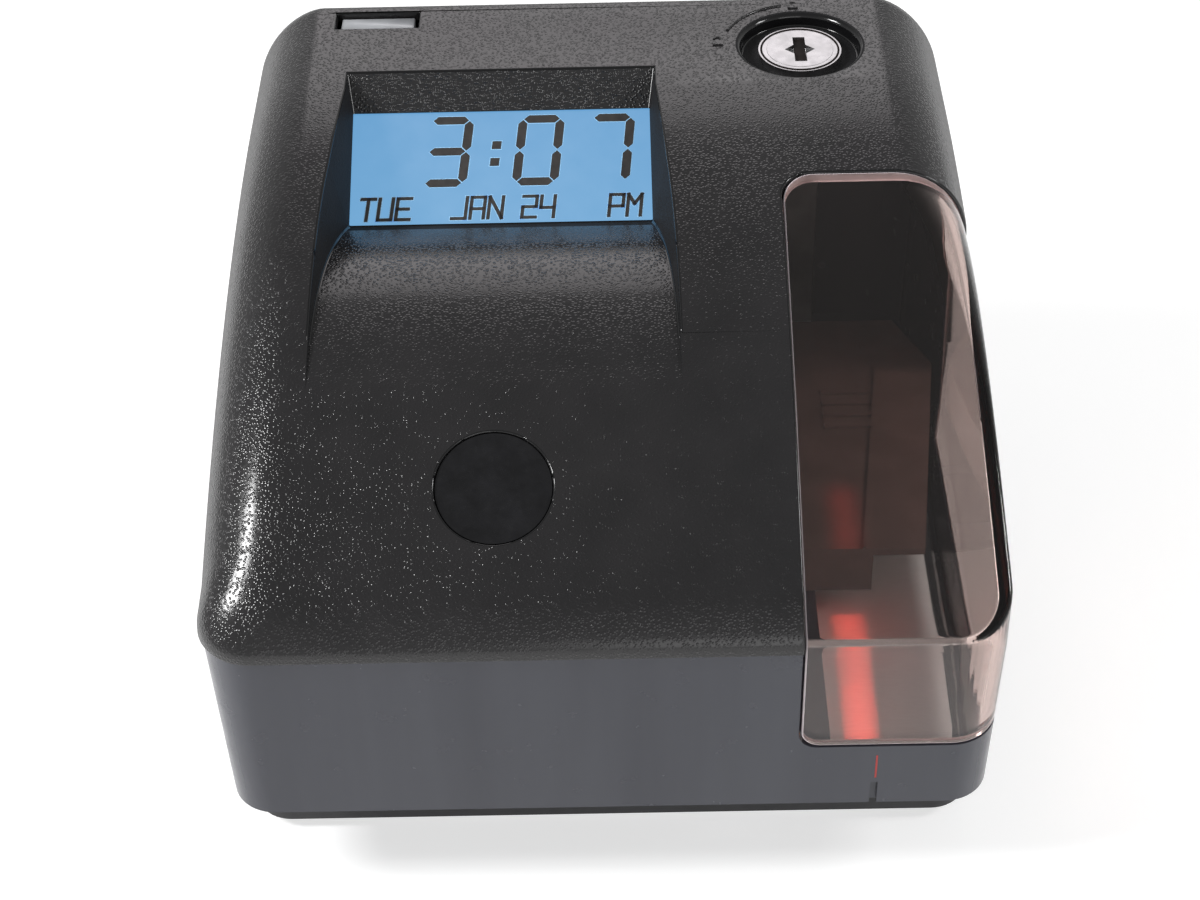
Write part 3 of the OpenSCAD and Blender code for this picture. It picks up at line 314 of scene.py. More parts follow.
def recess_stations(steps):
    """Places from the recess's back wall to its front end, each with a floor height and a half width."""
    back = (LCD.y + LCD_H / 2 * math.cos(LCD_TILT), LCD.z + LCD_H / 2 * math.sin(LCD_TILT))
    front = (LCD.y - LCD_H / 2 * math.cos(LCD_TILT), LCD.z - LCD_H / 2 * math.sin(LCD_TILT))
    run = (CREST_Y - back[0]) / (TOP_Z - back[1])
    high = TOP_Z + RECESS_RISE
    start_hw = LCD_W / 2 + (arch(front[0]) - front[1]) * DRAFT
    low_hw = LCD_W / 2 - RECESS_OVER * DRAFT
    stations = [(CREST_Y + RECESS_RISE * run, high - 0.1, LCD_W / 2 + (high - back[1]) * DRAFT),
                (back[0] - RECESS_OVER * run, back[1] - RECESS_OVER, low_hw),
                (front[0] + RECESS_OVER / 4, front[1] - RECESS_OVER, low_hw)]
    end_y = front[0] - SILL_LEN
    end_z = arch(end_y) - SILL_LIP
    slope = math.asin((CREST_Y - end_y) / ARCH_R)
    nx, nz = math.sin(slope), -math.cos(slope)
    dy, dz = front[0] - end_y, front[1] - end_z
    r = (dy * dy + dz * dz) / (2 * (dy * nx + dz * nz))
    cy, cz = end_y + r * nx, end_z + r * nz
    a0 = math.pi / 2 + slope
    a1 = math.atan2(front[1] - cz, front[0] - cy)
    for i in range(steps + 1):
        a = a1 + (a0 - a1) * i / steps
        y, z = cy + r * math.cos(a), cz + r * math.sin(a)
        hw = start_hw + (RECESS_FRONT_HW - start_hw) * (1 - (1 - (front[0] - y) / SILL_LEN) ** 3)
        t = min((y - end_y) / SILL_RAMP, 1)
        depth = (arch(y) - z + SKIM) * t * t * (3 - 2 * t) - SKIM
        stations.append((y, arch(y) - depth, hw - depth * DRAFT))
    return stations


def recess_object(name, grow, steps):
    stations = recess_stations(steps)
    last = len(stations) - 1
    high = TOP_Z + RECESS_RISE
    verts = []
    for i, (y, z, hw) in enumerate(stations):
        y += grow if i == 0 else -grow if i == last else 0
        z -= grow
        hw += grow
        wide = hw + (high - z) * DRAFT
        verts += [(LCD.x - hw, y, z), (LCD.x + hw, y, z), (LCD.x + wide, y, high), (LCD.x - wide, y, high)]
    faces = [(3, 2, 1, 0), (4 * last, 4 * last + 1, 4 * last + 2, 4 * last + 3)]
    for i in range(last):
        for k in range(4):
            a, b = 4 * i + k, 4 * i + (k + 1) % 4
            faces.append((a, b, b + 4, a + 4))
    return mesh_object(name, verts, faces)


def window_outline(grow):
    x, y, r = WIN_X - grow, WIN_BACK + grow, WIN_BACK_CORNER
    corner = [(x + r - r * math.sin(a), y - r + r * math.cos(a))
              for a in [math.pi / 2 * i / 12 for i in range(13)]]
    return [(REACH, y)] + corner + [(x, -REACH), (REACH, -REACH)]


def window_share(y):
    return (y + HALF_D) / (WIN_BACK + HALF_D)


def window_height(y):
    t = window_share(y)
    return WIN_FRONT_TOP + (arch(WIN_BACK) - WIN_FRONT_TOP) * t + 4 * WIN_BULGE * t * (1 - t)


def window_top(depth, steps=24):
    points = []
    for i in range(steps + 1):
        y = -HALF_D + (WIN_BACK + HALF_D) * i / steps
        points.append((y, window_height(y) - depth))
    return points


def window_form(name, inset, corner, side, edge):
    """The arched form of the window, whose edge rounding grows towards the cover."""
    step = SEAM_STEP + inset
    back = WIN_BACK + 2 * CORNER_R

    def rounding(y):
        t = min(max(window_share(y), 0), 1)
        return max(WIN_EDGE + (SIDE_R - WIN_EDGE) * t ** 4 - inset, EDGE_LEAST)

    front = rounding(-HALF_D)
    half = half_outline(HALF_W - step, -HALF_D + step, back, CORNER_R - step, corner, side)
    rings = [[(x, y, ROOF_Z) for x, y in whole_outline(half)]]
    for k in range(edge + 1):
        a = math.radians(90 * k / edge)
        e = 1 - math.cos(a)
        half = half_outline(HALF_W - step - e * front, -HALF_D + step + e * front, back,
                            CORNER_R - step - e * front, corner, side)
        ring = []
        for x, y in whole_outline(half):
            r = rounding(y)
            ring.append(leaning(x * (1 - e * (r - front) / HALF_W), y,
                                window_height(y) - inset - r * (1 - math.sin(a))))
        rings.append(ring)
    return ring_object(name, rings)


def case_object(name, inset):
    """The drafted form of the case, drawn in by a wall."""
    rings = []
    for z, step in ((ROOF_Z, SEAM_STEP + HOUSING_DRAFT), (SEAM_Z, SEAM_STEP),
                    (TOP_Z, SEAM_STEP + LEAN * (TOP_Z - SEAM_Z))):
        step += inset
        half = half_outline(HALF_W - step, -HALF_D + step, HALF_D - step, CORNER_R - step, 12, 2)
        rings.append([(x, y, z) for x, y in whole_outline(half)])
    return ring_object(name, rings)


def window_front():
    """The front view of the window with its rounded lower corner."""
    x, z, r = WIN_X + WIN_GAP, WIN_BOTTOM + WIN_GAP, WIN_CORNER
    corner = [(x + r - r * math.cos(a), z + r - r * math.sin(a))
              for a in [math.pi / 2 * i / 12 for i in range(13)]]
    return [(x, REACH)] + corner + [(REACH, z), (REACH, REACH)]


def upright_prism(name, outline, low, high, rows):
    prism = prism_object(name, outline, low, high, Matrix(rows).to_4x4())
    flip_if_inside_out(prism)
    return prism


ALONG_X = ((0, 0, 1), (1, 0, 0), (0, 1, 0))
ALONG_Y = ((1, 0, 0), (0, 0, 1), (0, 1, 0))


def make_window():
    hollow = window_form("hollow", WIN_T, corner=12, side=48, edge=8)
    hollow = combine(hollow, "INTERSECT", [case_object("inner_case", WIN_T)])
    pane = window_form("window_pane", 0, corner=12, side=48, edge=10)
    pane = combine(pane, "INTERSECT", [
        case_object("outer_case", 0),
        prism_object("plan", window_outline(-WIN_GAP), 0, REACH),
        upright_prism("front", window_front(), -REACH, REACH, ALONG_Y),
    ])
    pane = cut(pane, [hollow])
    strip = window_top(WIN_T - STRIP_BITE)[2:] + list(reversed(window_top(WIN_T + FLANGE_T)[2:]))
    flange = upright_prism("strip", strip, WIN_X - FLANGE_W, WIN_X + FLANGE_LAP, ALONG_X)
    return combine(pane, "UNION", [flange])


def rim_object(name):
    rim = prism_object(name, window_outline(COVER_WALL), SEAM_Z, REACH)
    side = window_top(WIN_T) + [(WIN_BACK + REACH, 0), (-REACH, 0), (-REACH, WIN_FRONT_TOP - WIN_T)]
    return cut(rim, [upright_prism("below", side, WIN_X - RIM_SIDE, HALF_W + 1, ALONG_X)])


def flip_if_inside_out(obj):
    volume = 0.0
    for face in obj.data.polygons:
        corners = [obj.data.vertices[i].co for i in face.vertices]
        for k in range(1, len(corners) - 1):
            volume += corners[0].dot(corners[k].cross(corners[k + 1]))
    if volume < 0:
        obj.data.flip_normals()


def well_object(name):
    """The lock's well with a rounded rim."""
    rings = [(WELL_R, LOCK.z)]
    steps = 8
    for i in range(steps + 1):
        a = math.radians(90 * i / steps)
        rings.append((WELL_R + WELL_FLARE * (1 - math.cos(a)), TOP_Z - WELL_FLARE * (1 - math.sin(a))))
    rings.append((WELL_R + WELL_FLARE, TOP_Z + RECESS_RISE))
    return ring_object(name, [[(x, y, z) for x, y in circle(LOCK.x, LOCK.y, r)] for r, z in rings])


display_place = Matrix.Translation(LCD) @ Matrix.Rotation(LCD_TILT, 4, "X")
badge_slope = math.asin((CREST_Y - BADGE_Y) / ARCH_R)
badge_place = Matrix.Translation((LCD.x, BADGE_Y, arch(BADGE_Y))) @ Matrix.Rotation(badge_slope, 4, "X")


def rectangle(w, h):
    return [(-w / 2, -h / 2), (w / 2, -h / 2), (w / 2, h / 2), (-w / 2, h / 2)]


def recess_end(point):
    """Tells whether a point lies where the recess runs out into the cover."""
    from_end = point.y - (SILL_Y - SILL_LEN)
    return abs(point.x - LCD.x) < RECESS_FRONT_HW + END_SIDE and -SILL_RAMP / 2 < from_end < 2 * SILL_RAMP


def make_cover():
    void = cover_object("void", COVER_WALL, VOID_LOW, corner=8, side=40, edge=8)
    void = cut(void, [
        recess_object("r", RECESS_WALL, 24),
        rim_object("rim"),
        prism_object("lock_boss", circle(LOCK.x, LOCK.y, WELL_R + COVER_WALL), LOCK.z - WELL_FLOOR, REACH),
        prism_object("badge_boss", circle(0, 0, BADGE_R + COVER_WALL), -BADGE_DEPTH - COVER_WALL, REACH,
                     badge_place),
    ])
    cover = cover_object("cover_shell", 0, SEAM_Z + SEAM_GAP, corner=16, side=64, edge=16)
    display_room = rectangle(LCD_W + 2 * SPACE_SIDE, LCD_H + 2 * SPACE_END)
    return cut(cover, [
        void,
        recess_object("recess", 0, 48),
        prism_object("space", display_room, -SPACE_DEPTH, -LCD_GAP / 4, display_place),
        prism_object("window", window_outline(0), 0, REACH),
        well_object("well"),
        prism_object("barrel", circle(LOCK.x, LOCK.y, BARREL_R), SEAM_Z, REACH),
        prism_object("badge", circle(0, 0, BADGE_R), -BADGE_DEPTH, REACH, badge_place),
        box_object("slot", (SLOT.x - SLOT_W / 2, SLOT.y - SLOT_L / 2, SEAM_Z),
                   (SLOT.x + SLOT_W / 2, SLOT.y + SLOT_L / 2, REACH)),
    ])


# Materials

class Shader:
    """One Principled material with helpers for its procedural detail."""

    def __init__(self, name, color, rough=0.5, metal=0.0, **sockets):
        self.mat = bpy.data.materials.new(name)
        self.mat.use_nodes = True
        self.tree = self.mat.node_tree
        self.bsdf = self.tree.nodes["Principled BSDF"]
        self.set("Base Color", (*color, 1))
        self.set("Roughness", rough)
        self.set("Metallic", metal)
        for key, value in sockets.items():
            self.set(key.replace("_", " "), value)
        self.coords = self.tree.nodes.new("ShaderNodeTexCoord").outputs["Object"]
        self.height = None

    def set(self, socket, value):
        self.bsdf.inputs[socket].default_value = value

    def node(self, kind, **values):
        node = self.tree.nodes.new(kind)
        for key, value in values.items():
            setattr(node, key, value)
        return node

    def link(self, a, b):
        self.tree.links.new(a, b)

    def stretched(self, scale):
        mapping = self.node("ShaderNodeMapping")
        mapping.inputs["Scale"].default_value = scale
        self.link(self.coords, mapping.inputs["Vector"])
        return mapping.outputs["Vector"]

    def noise(self, grain, detail=3.0, vector=None):
        """Noise whose grain is given in millimetres."""
        node = self.node("ShaderNodeTexNoise")
        node.inputs["Scale"].default_value = 1000.0 / grain
        node.inputs["Detail"].default_value = detail
        self.link(vector or self.coords, node.inputs["Vector"])
        return node.outputs["Fac"]

    def cells(self, grain, vector=None, feature="F1"):
        node = self.node("ShaderNodeTexVoronoi", feature=feature)
        node.inputs["Scale"].default_value = 1000.0 / grain
        self.link(vector or self.coords, node.inputs["Vector"])
        return node.outputs["Distance"]

    def product(self, a, b):
        node = self.node("ShaderNodeMath", operation="MULTIPLY")
        self.link(a, node.inputs[0])
        self.link(b, node.inputs[1])
        return node.outputs["Value"]

    def pebbles(self, grain, low, high):
        """Round domes side by side, most of them low and a few high."""
        node = self.node("ShaderNodeTexVoronoi")
        node.inputs["Scale"].default_value = 1000.0 / grain
        self.link(self.coords, node.inputs["Vector"])
        away = node.outputs["Distance"]
        dome = self.ramp(self.product(away, away), (0, 0.25), (0.25, 0))
        pick = self.node("ShaderNodeSeparateColor")
        self.link(node.outputs["Color"], pick.inputs["Color"])
        chance = self.product(pick.outputs["Red"], pick.outputs["Red"])
        return self.product(dome, self.ramp(self.product(chance, chance), (0, low), (1, high)))

    def ramp(self, fac, low, high):
        node = self.node("ShaderNodeMapRange")
        node.inputs["From Min"].default_value = low[0]
        node.inputs["From Max"].default_value = high[0]
        node.inputs["To Min"].default_value = low[1]
        node.inputs["To Max"].default_value = high[1]
        self.link(fac, node.inputs["Value"])
        return node.outputs["Result"]

    def tint(self, fac, dark, pale):
        node = self.node("ShaderNodeValToRGB")
        node.color_ramp.elements[0].position = 0.3
        node.color_ramp.elements[0].color = (*dark, 1)
        node.color_ramp.elements[1].position = 0.7
        node.color_ramp.elements[1].color = (*pale, 1)
        self.link(fac, node.inputs["Fac"])
        self.link(node.outputs["Color"], self.bsdf.inputs["Base Color"])
        return self

    def roughness(self, fac, low, high):
        self.link(self.ramp(fac, (0.3, low), (0.7, high)), self.bsdf.inputs["Roughness"])
        return self

    def dull_rim(self, extra):
        """Adds roughness where the surface turns away."""
        facing = self.node("ShaderNodeLayerWeight").outputs["Facing"]
        total = self.node("ShaderNodeMath", operation="ADD")
        self.link(self.bsdf.inputs["Roughness"].links[0].from_socket, total.inputs[0])
        self.link(self.ramp(facing, (0.6, 0), (0.95, extra)), total.inputs[1])
        self.link(total.outputs["Value"], self.bsdf.inputs["Roughness"])

    def bump(self, fac, strength, depth):
        node = self.node("ShaderNodeBump")
        node.inputs["Strength"].default_value = strength
        node.inputs["Distance"].default_value = depth * MM
        self.link(fac, node.inputs["Height"])
        if self.height:
            self.link(self.height, node.inputs["Normal"])
        self.height = node.outputs["Normal"]
        self.link(self.height, self.bsdf.inputs["Normal"])
        return self


def shade(color, factor):
    return tuple(min(1, c * factor) for c in color)


def moulded(name, color, rough=0.45, grain=0.6, bump=0.15, **sockets):
    """Moulded plastic or rubber with a fine grain and slightly uneven colour."""
    s = Shader(name, color, rough, **sockets)
    s.tint(s.noise(9, 4), shade(color, 0.85), shade(color, 1.18))
    s.roughness(s.noise(3, 3), rough - 0.06, rough + 0.08)
    s.bump(s.noise(grain, 2), bump, 0.05)
    return s.mat


def turned(name, color, rough=0.25, along=(1, 1, 30), **sockets):
    """Metal with fine tool marks along one direction."""
    s = Shader(name, color, rough, 1.0, **sockets)
    marks = s.noise(2.0, 4, s.stretched(along))
    s.tint(s.noise(6, 3), shade(color, 0.86), shade(color, 1.1))
    s.roughness(marks, rough - 0.06, rough + 0.1)
    s.bump(marks, 0.08, 0.03)
    return s.mat


def make_materials():
    """All the finishes by slot."""
    made = {}
    cover = Shader("cover_plastic", (0.017, 0.0163, 0.0172), 0.15, Specular_IOR_Level=0.5)
    cover.tint(cover.noise(14, 4), (0.0145, 0.014, 0.0148), (0.0195, 0.0186, 0.0196))
    cover.roughness(cover.noise(0.9, 2), 0.13, 0.19)
    cover.dull_rim(0.3)
    cover.bump(cover.noise(0.35, 2), 0.2, 0.05)
    cover.bump(cover.pebbles(0.65, 2.1, 4.5), 0.5, 0.2)
    made["cover_plastic"] = cover.mat

    housing = Shader("housing_plastic", (0.044, 0.047, 0.062), 0.24, Specular_IOR_Level=0.5)
    # Lighter and darker vertical streaks in the housing's colour: a painted reflection, not a mark of the
    # moulding.
    painted_reflection_streaks = housing.noise(16, 3, housing.stretched((1, 1, 0.08)))
    housing.tint(painted_reflection_streaks, (0.037, 0.039, 0.053), (0.054, 0.057, 0.073))
    housing.roughness(housing.noise(5, 4), 0.18, 0.28)
    housing.bump(housing.noise(0.5, 2), 0.05, 0.03)
    made["housing_plastic"] = housing.mat

    made["base_plastic"] = moulded("base_plastic", (0.012, 0.012, 0.014), 0.45, 0.6, 0.25)
    made["feet_rubber"] = moulded("feet_rubber", (0.014, 0.014, 0.014), 0.75, 0.4, 0.3)
    made["platen_steel"] = platen_material()
    made["bright_steel"] = turned("bright_steel", (0.6, 0.6, 0.61), 0.22)
    made["sheet_steel"] = turned("sheet_steel", (0.42, 0.43, 0.44), 0.36, (8, 1, 8))
    made["lock_chrome"] = chrome_material()
    made["latch_grey"] = moulded("latch_grey", (0.4, 0.41, 0.43), 0.2, 0.8, 0.03)
    made["badge_metal"] = badge_material()
    made["circuit_green"] = circuit_material()
    made["part_black"] = moulded("part_black", (0.013, 0.013, 0.014), 0.5, 0.5, 0.2)
    made["part_blue"] = moulded("part_blue", (0.018, 0.03, 0.085), 0.25, 0.8, 0.04)
    made["part_ivory"] = moulded("part_ivory", (0.66, 0.62, 0.51), 0.42, 0.6, 0.08)
    made["brass_post"] = turned("brass_post", (0.62, 0.46, 0.17), 0.25)
    made["key_red"] = moulded("key_red", (0.45, 0.03, 0.025), 0.35, 0.6, 0.08)
    made["key_white"] = moulded("key_white", (0.66, 0.66, 0.64), 0.35, 0.6, 0.08)
    made["lcd_blue"] = lcd_material()
    made["backlight_white"] = moulded("backlight_white", (0.72, 0.79, 0.86), 0.4, 0.8, 0.03)
    made["cassette_plastic"] = moulded("cassette_plastic", (0.085, 0.054, 0.048), 0.4, 0.5, 0.12)
    made["ribbon_fabric"] = ribbon_material()
    made["knob_blue"] = moulded("knob_blue", (0.035, 0.06, 0.25), 0.38, 0.6, 0.1)
    made["belt_rubber"] = moulded("belt_rubber", (0.014, 0.014, 0.015), 0.65, 0.4, 0.3)
    made["motor_metal"] = moulded("motor_metal", (0.1, 0.105, 0.11), 0.35, 0.7, 0.08, Metallic=0.6)
    made["head_aluminium"] = turned("head_aluminium", (0.48, 0.48, 0.49), 0.4, (1, 1, 6))
    lamp = Shader("lamp_red", (0.7, 0.03, 0.02), 0.2, Emission_Color=(1, 0.05, 0.03, 1),
                  Emission_Strength=2.5)
    lamp.roughness(lamp.noise(1.5, 2), 0.15, 0.3)
    made["lamp_red"] = lamp.mat
    made["smoked_clear"] = glass_material()
    return made


def glass_material():
    """Smoked clear plastic, darker where the light passes a longer way, that also lets the lamps through."""
    s = Shader("smoked_clear", (0.97, 0.96, 0.955), 0.03, Transmission_Weight=1.0, IOR=1.5)
    s.roughness(s.noise(30, 3), 0.015, 0.05)
    clear = s.node("ShaderNodeBsdfTransparent")
    clear.inputs["Color"].default_value = (0.98, 0.98, 0.98, 1)
    path = s.node("ShaderNodeLightPath")
    mix = s.node("ShaderNodeMixShader")
    s.link(path.outputs["Is Shadow Ray"], mix.inputs["Fac"])
    s.link(s.bsdf.outputs["BSDF"], mix.inputs[1])
    s.link(clear.outputs["BSDF"], mix.inputs[2])
    smoke = s.node("ShaderNodeVolumeAbsorption")
    smoke.inputs["Color"].default_value = (0.46, 0.17, 0.07, 1)
    smoke.inputs["Density"].default_value = 118
    out = s.tree.nodes["Material Output"]
    s.link(mix.outputs["Shader"], out.inputs["Surface"])
    s.link(smoke.outputs["Volume"], out.inputs["Volume"])
    return s.mat


def chrome_material():
    s = Shader("lock_chrome", (0.5, 0.49, 0.5), 0.3, 1.0)
    s.tint(s.noise(7, 3), (0.47, 0.465, 0.47), (0.53, 0.52, 0.53))
    s.roughness(s.noise(2.5, 4), 0.24, 0.36)
    s.bump(s.noise(4, 2), 0.01, 0.02)
    return s.mat


def platen_material():
    s = Shader("platen_steel", (0.78, 0.76, 0.74), 0.5, 0.0)
    marks = s.noise(2.0, 4, s.stretched((1, 14, 1)))
    s.tint(marks, (0.72, 0.7, 0.68), (0.82, 0.8, 0.78))
    s.roughness(s.noise(4, 3), 0.42, 0.6)
    s.bump(marks, 0.05, 0.03)
    return s.mat


def badge_material():
    s = Shader("badge_metal", (0.012, 0.012, 0.013), 0.22, 0.3)
    s.tint(s.noise(5, 3), (0.009, 0.009, 0.01), (0.016, 0.016, 0.018))
    s.roughness(s.noise(1.2, 3), 0.16, 0.3)
    s.bump(s.noise(0.8, 2), 0.06, 0.03)
    return s.mat


def circuit_material():
    s = Shader("circuit_green", (0.015, 0.12, 0.045), 0.3)
    tracks = s.cells(4.0, s.stretched((1, 1, 0.2)), "DISTANCE_TO_EDGE")
    s.tint(s.ramp(tracks, (0.05, 1.0), (0.12, 0.0)), (0.012, 0.1, 0.036), (0.03, 0.2, 0.07))
    s.roughness(s.noise(2, 3), 0.24, 0.38)
    s.bump(tracks, 0.1, 0.04)
    return s.mat


def lcd_material():
    s = Shader("lcd_blue", (0.03, 0.1, 0.2), 0.12, Emission_Strength=0.85)
    across = s.node("ShaderNodeSeparateXYZ")
    s.link(s.coords, across.inputs[0])
    glow = s.ramp(across.outputs["Z"], (0.1005, 0.62), (0.1145, 0.38))
    s.tint(glow, (0.13, 0.38, 0.7), (0.18, 0.45, 0.76))
    lit = s.bsdf.inputs["Base Color"].links[0]
    s.link(lit.from_socket, s.bsdf.inputs["Emission Color"])
    s.tree.links.remove(lit)
    s.link(s.ramp(s.noise(6, 3), (0.3, 0.05), (0.7, 0.07)), s.bsdf.inputs["Base Color"])
    s.roughness(s.noise(8, 2), 0.08, 0.16)
    return s.mat


def ribbon_material():
    s = Shader("ribbon_fabric", (0.02, 0.015, 0.03), 0.7)
    weave = s.node("ShaderNodeTexWave")
    weave.inputs["Scale"].default_value = 900
    s.link(s.coords, weave.inputs["Vector"])
    s.tint(weave.outputs["Fac"], (0.012, 0.01, 0.02), (0.03, 0.024, 0.042))
    s.roughness(s.noise(1, 2), 0.6, 0.8)
    s.bump(weave.outputs["Fac"], 0.3, 0.05)
    return s.mat


materials = make_materials()


def dress(obj, slot):
    obj.data.materials.clear()
    obj.data.materials.append(materials[slot])


for part in frame["record"]["subparts"]:
    dress(nodes[part["node"]], part["material_slot"])
    smooth(nodes[part["node"]], NODE_ANGLE)
join_facets(nodes["lower_housing"], NODE_ANGLE)


def add(obj, body, slot, *stands_for):
    """Gives a new piece its finish, its body and the nodes that it stands for."""
    dress(obj, slot)
    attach(obj, body)
    if stands_for:
        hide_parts(*stands_for)
    return obj


# Pieces

GLOSS, MATTE, COARSE = 1, 2, 3
# The pane's pale edge finish: partly a frosted cut, partly a painted highlight.
FROST_AND_GLINT = 1


def finish_cover(cover):
    """Gloss for the cover's edges, matte for the well and the recess, coarse for the recess's back wall."""
    gloss = Shader("cover_gloss", (0.006, 0.006, 0.0065), 0.12)
    gloss.roughness(gloss.noise(3, 3), 0.08, 0.18)
    matte = Shader("cover_matte", (0.02, 0.02, 0.021), 0.6, Specular_IOR_Level=0.06)
    matte.tint(matte.noise(14, 4), (0.018, 0.018, 0.019), (0.023, 0.023, 0.024))
    matte.bump(matte.pebbles(0.65, 1.8, 4.5), 0.5, 0.2)
    coarse = Shader("cover_coarse", (0.02, 0.0195, 0.0205), 0.12)
    coarse.roughness(coarse.noise(0.9, 2), 0.08, 0.14)
    coarse.bump(coarse.pebbles(0.7, 2.4, 5.0), 1.0, 0.25)
    for finish in (gloss, matte, coarse):
        cover.data.materials.append(finish.mat)
    for face in cover.data.polygons:
        middle = face.center / MM
        aside = abs(middle.x - LCD.x) - LCD_W / 2
        in_well = (middle - LOCK).xy.length < WELL_R + WELL_FLARE and LOCK.z - 0.5 < middle.z < TOP_Z - 0.001
        recess_side = abs(face.normal.x) > 0.9 and -1 < aside < 5
        near_sill = aside < 2 and SILL_Y - 3.5 < middle.y < SILL_Y + 0.5 and middle.z < LCD.z
        back_wall = face.normal.y < -0.5 and aside < 0 and LCD.y < middle.y < CREST_Y + 1 and middle.z > LCD.z
        if in_well:
            face.material_index = MATTE if face.normal.z > 0.9 else GLOSS
        elif recess_side or near_sill:
            face.material_index = MATTE
        elif back_wall:
            face.material_index = COARSE


def frost_and_glint_edges(pane):
    """Gives the pane's cut edges a pale finish, partly a real frosted cut and partly a painted highlight for
    the light the edges catch.
    """
    frost_and_glint = Shader("pane_edge", (0.62, 0.55, 0.57), 0.6)
    frost_and_glint.tint(frost_and_glint.noise(4, 3), (0.58, 0.51, 0.53), (0.66, 0.59, 0.61))
    frost_and_glint.bump(frost_and_glint.noise(0.4, 2), 0.2, 0.05)
    pane.data.materials.append(frost_and_glint.mat)
    turn = Vector((WIN_X + WIN_GAP + WIN_BACK_CORNER, WIN_BACK - WIN_GAP - WIN_BACK_CORNER, 0))
    for face in pane.data.polygons:
        away = face.center / MM - turn
        behind = away.x > 0 and abs(away.y - WIN_BACK_CORNER) < 0.1
        rounded = away.x < 0 < away.y and abs(away.xy.length - WIN_BACK_CORNER) < 0.1
        if behind or rounded:
            face.material_index = FROST_AND_GLINT


cover = make_cover()
smooth(cover, SHADE_ANGLE)
soften(cover, COVER_BEVEL, finish=GLOSS, left_sharp=recess_end)
add(cover, "cover", "cover_plastic", "top_cover")
finish_cover(cover)

pane = make_window()
smooth(pane, SHADE_ANGLE)
# The pane's rounded edges take the same pale finish, a painted highlight along them.
soften(pane, PANE_BEVEL, finish=FROST_AND_GLINT)
add(pane, "cover", "smoked_clear", "smoked_window")
frost_and_glint_edges(pane)

weld(nodes["latch_post"])
soften(nodes["latch_post"], LATCH_BEVEL)

# The readout, whose places are shares of the display's width and height

SEG_T = 2.05
SEG_GAP = 0.18
SLANT = 0.1
INK_LOW = -LCD_GAP + 0.02
INK_HIGH = -LCD_GAP + 0.1
HALO = 0.34
DIGIT_W = 8.5
DIGIT_TOP = 0.07
DIGIT_BASE = 0.627
TIME = ((0.256, "3"), (0.562, "0"), (0.799, "7"))
COLON_LEFT = 0.481
COLON_DOTS = (0.298, 0.448)
DOT_HALF = 1.05
WORD_TOP = 0.757
WORD_BASE = 0.94
WORDS = ((0.03, "TUE"), (0.336, "JAN"), (0.568, "24"), (0.856, "PM"))
LETTER_W = 3.0
LETTER_T = 0.8
LETTER_STEP = 0.06


def seg_points(x0, y0, x1, y1, t):
    """A bar with pointed ends, as on a segment display."""
    dx, dy = x1 - x0, y1 - y0
    length = math.hypot(dx, dy)
    ux, uy = dx / length, dy / length
    px, py = -uy * t / 2, ux * t / 2
    h = t / 2
    return [(x0, y0), (x0 + ux * h - px, y0 + uy * h - py), (x1 - ux * h - px, y1 - uy * h - py), (x1, y1),
            (x1 - ux * h + px, y1 - uy * h + py), (x0 + ux * h + px, y0 + uy * h + py)]


def stroke_points(x0, y0, x1, y1, t):
    dx, dy = x1 - x0, y1 - y0
    length = math.hypot(dx, dy)
    ux, uy = dx / length * t / 2, dy / length * t / 2
    return [(x0 - ux + uy, y0 - uy - ux), (x1 + ux + uy, y1 + uy - ux), (x1 + ux - uy, y1 + uy + ux),
            (x0 - ux - uy, y0 - uy + ux)]


DIGIT_BARS = {"a": ((0, 1), (1, 1)), "b": ((1, 1), (1, .5)), "c": ((1, .5), (1, 0)), "d": ((0, 0), (1, 0)),
              "e": ((0, .5), (0, 0)), "f": ((0, 1), (0, .5)), "g": ((0, .5), (1, .5))}
DIGITS = {"0": "abcdef", "3": "abcdg", "7": "abc"}
STROKES = {
    "T": [(0, 1, 1, 1), (.5, 1, .5, 0)],
    "U": [(0, 1, 0, 0), (0, 0, 1, 0), (1, 0, 1, 1)],
    "E": [(0, 1, 0, 0), (0, 1, 1, 1), (0, .5, .85, .5), (0, 0, 1, 0)],
    "J": [(1, 1, 1, 0), (0, 0, 1, 0)],
    "A": [(0, 0, 0, 1), (0, 1, 1, 1), (1, 1, 1, 0), (0, .45, 1, .45)],
    "N": [(0, 0, 0, 1), (0, 1, 1, 0), (1, 0, 1, 1)],
    "2": [(0, 1, 1, 1), (1, 1, 1, .5), (1, .5, 0, .5), (0, .5, 0, 0), (0, 0, 1, 0)],
    "4": [(0, 1, 0, .45), (0, .45, 1, .45), (1, 1, 1, 0)],
    "P": [(0, 0, 0, 1), (0, 1, 1, 1), (1, 1, 1, .45), (1, .45, 0, .45)],
    "M": [(0, 0, 0, 1), (1, 0, 1, 1), (0, 1, .5, .55), (1, 1, .5, .55)],
}


def from_left(share):
    return -LCD_W / 2 + LCD_W * share


def from_top(share):
    return LCD_H / 2 - LCD_H * share


def slanted(points, base):
    return [(x + SLANT * (y - base), y) for x, y in points]


def digit_outlines(left, digit, extra):
    top, base = from_top(DIGIT_TOP), from_top(DIGIT_BASE)
    gap = SEG_GAP - extra / 2
    outlines = []
    for bar in DIGITS[digit]:
        (x0, y0), (x1, y1) = [(from_left(left) + x * DIGIT_W, base + y * (top - base))
                              for x, y in DIGIT_BARS[bar]]
        length = math.hypot(x1 - x0, y1 - y0)
        ux, uy = (x1 - x0) / length * gap, (y1 - y0) / length * gap
        points = seg_points(x0 + ux, y0 + uy, x1 - ux, y1 - uy, SEG_T + extra)
        outlines.append(slanted(points, (top + base) / 2))
    return outlines


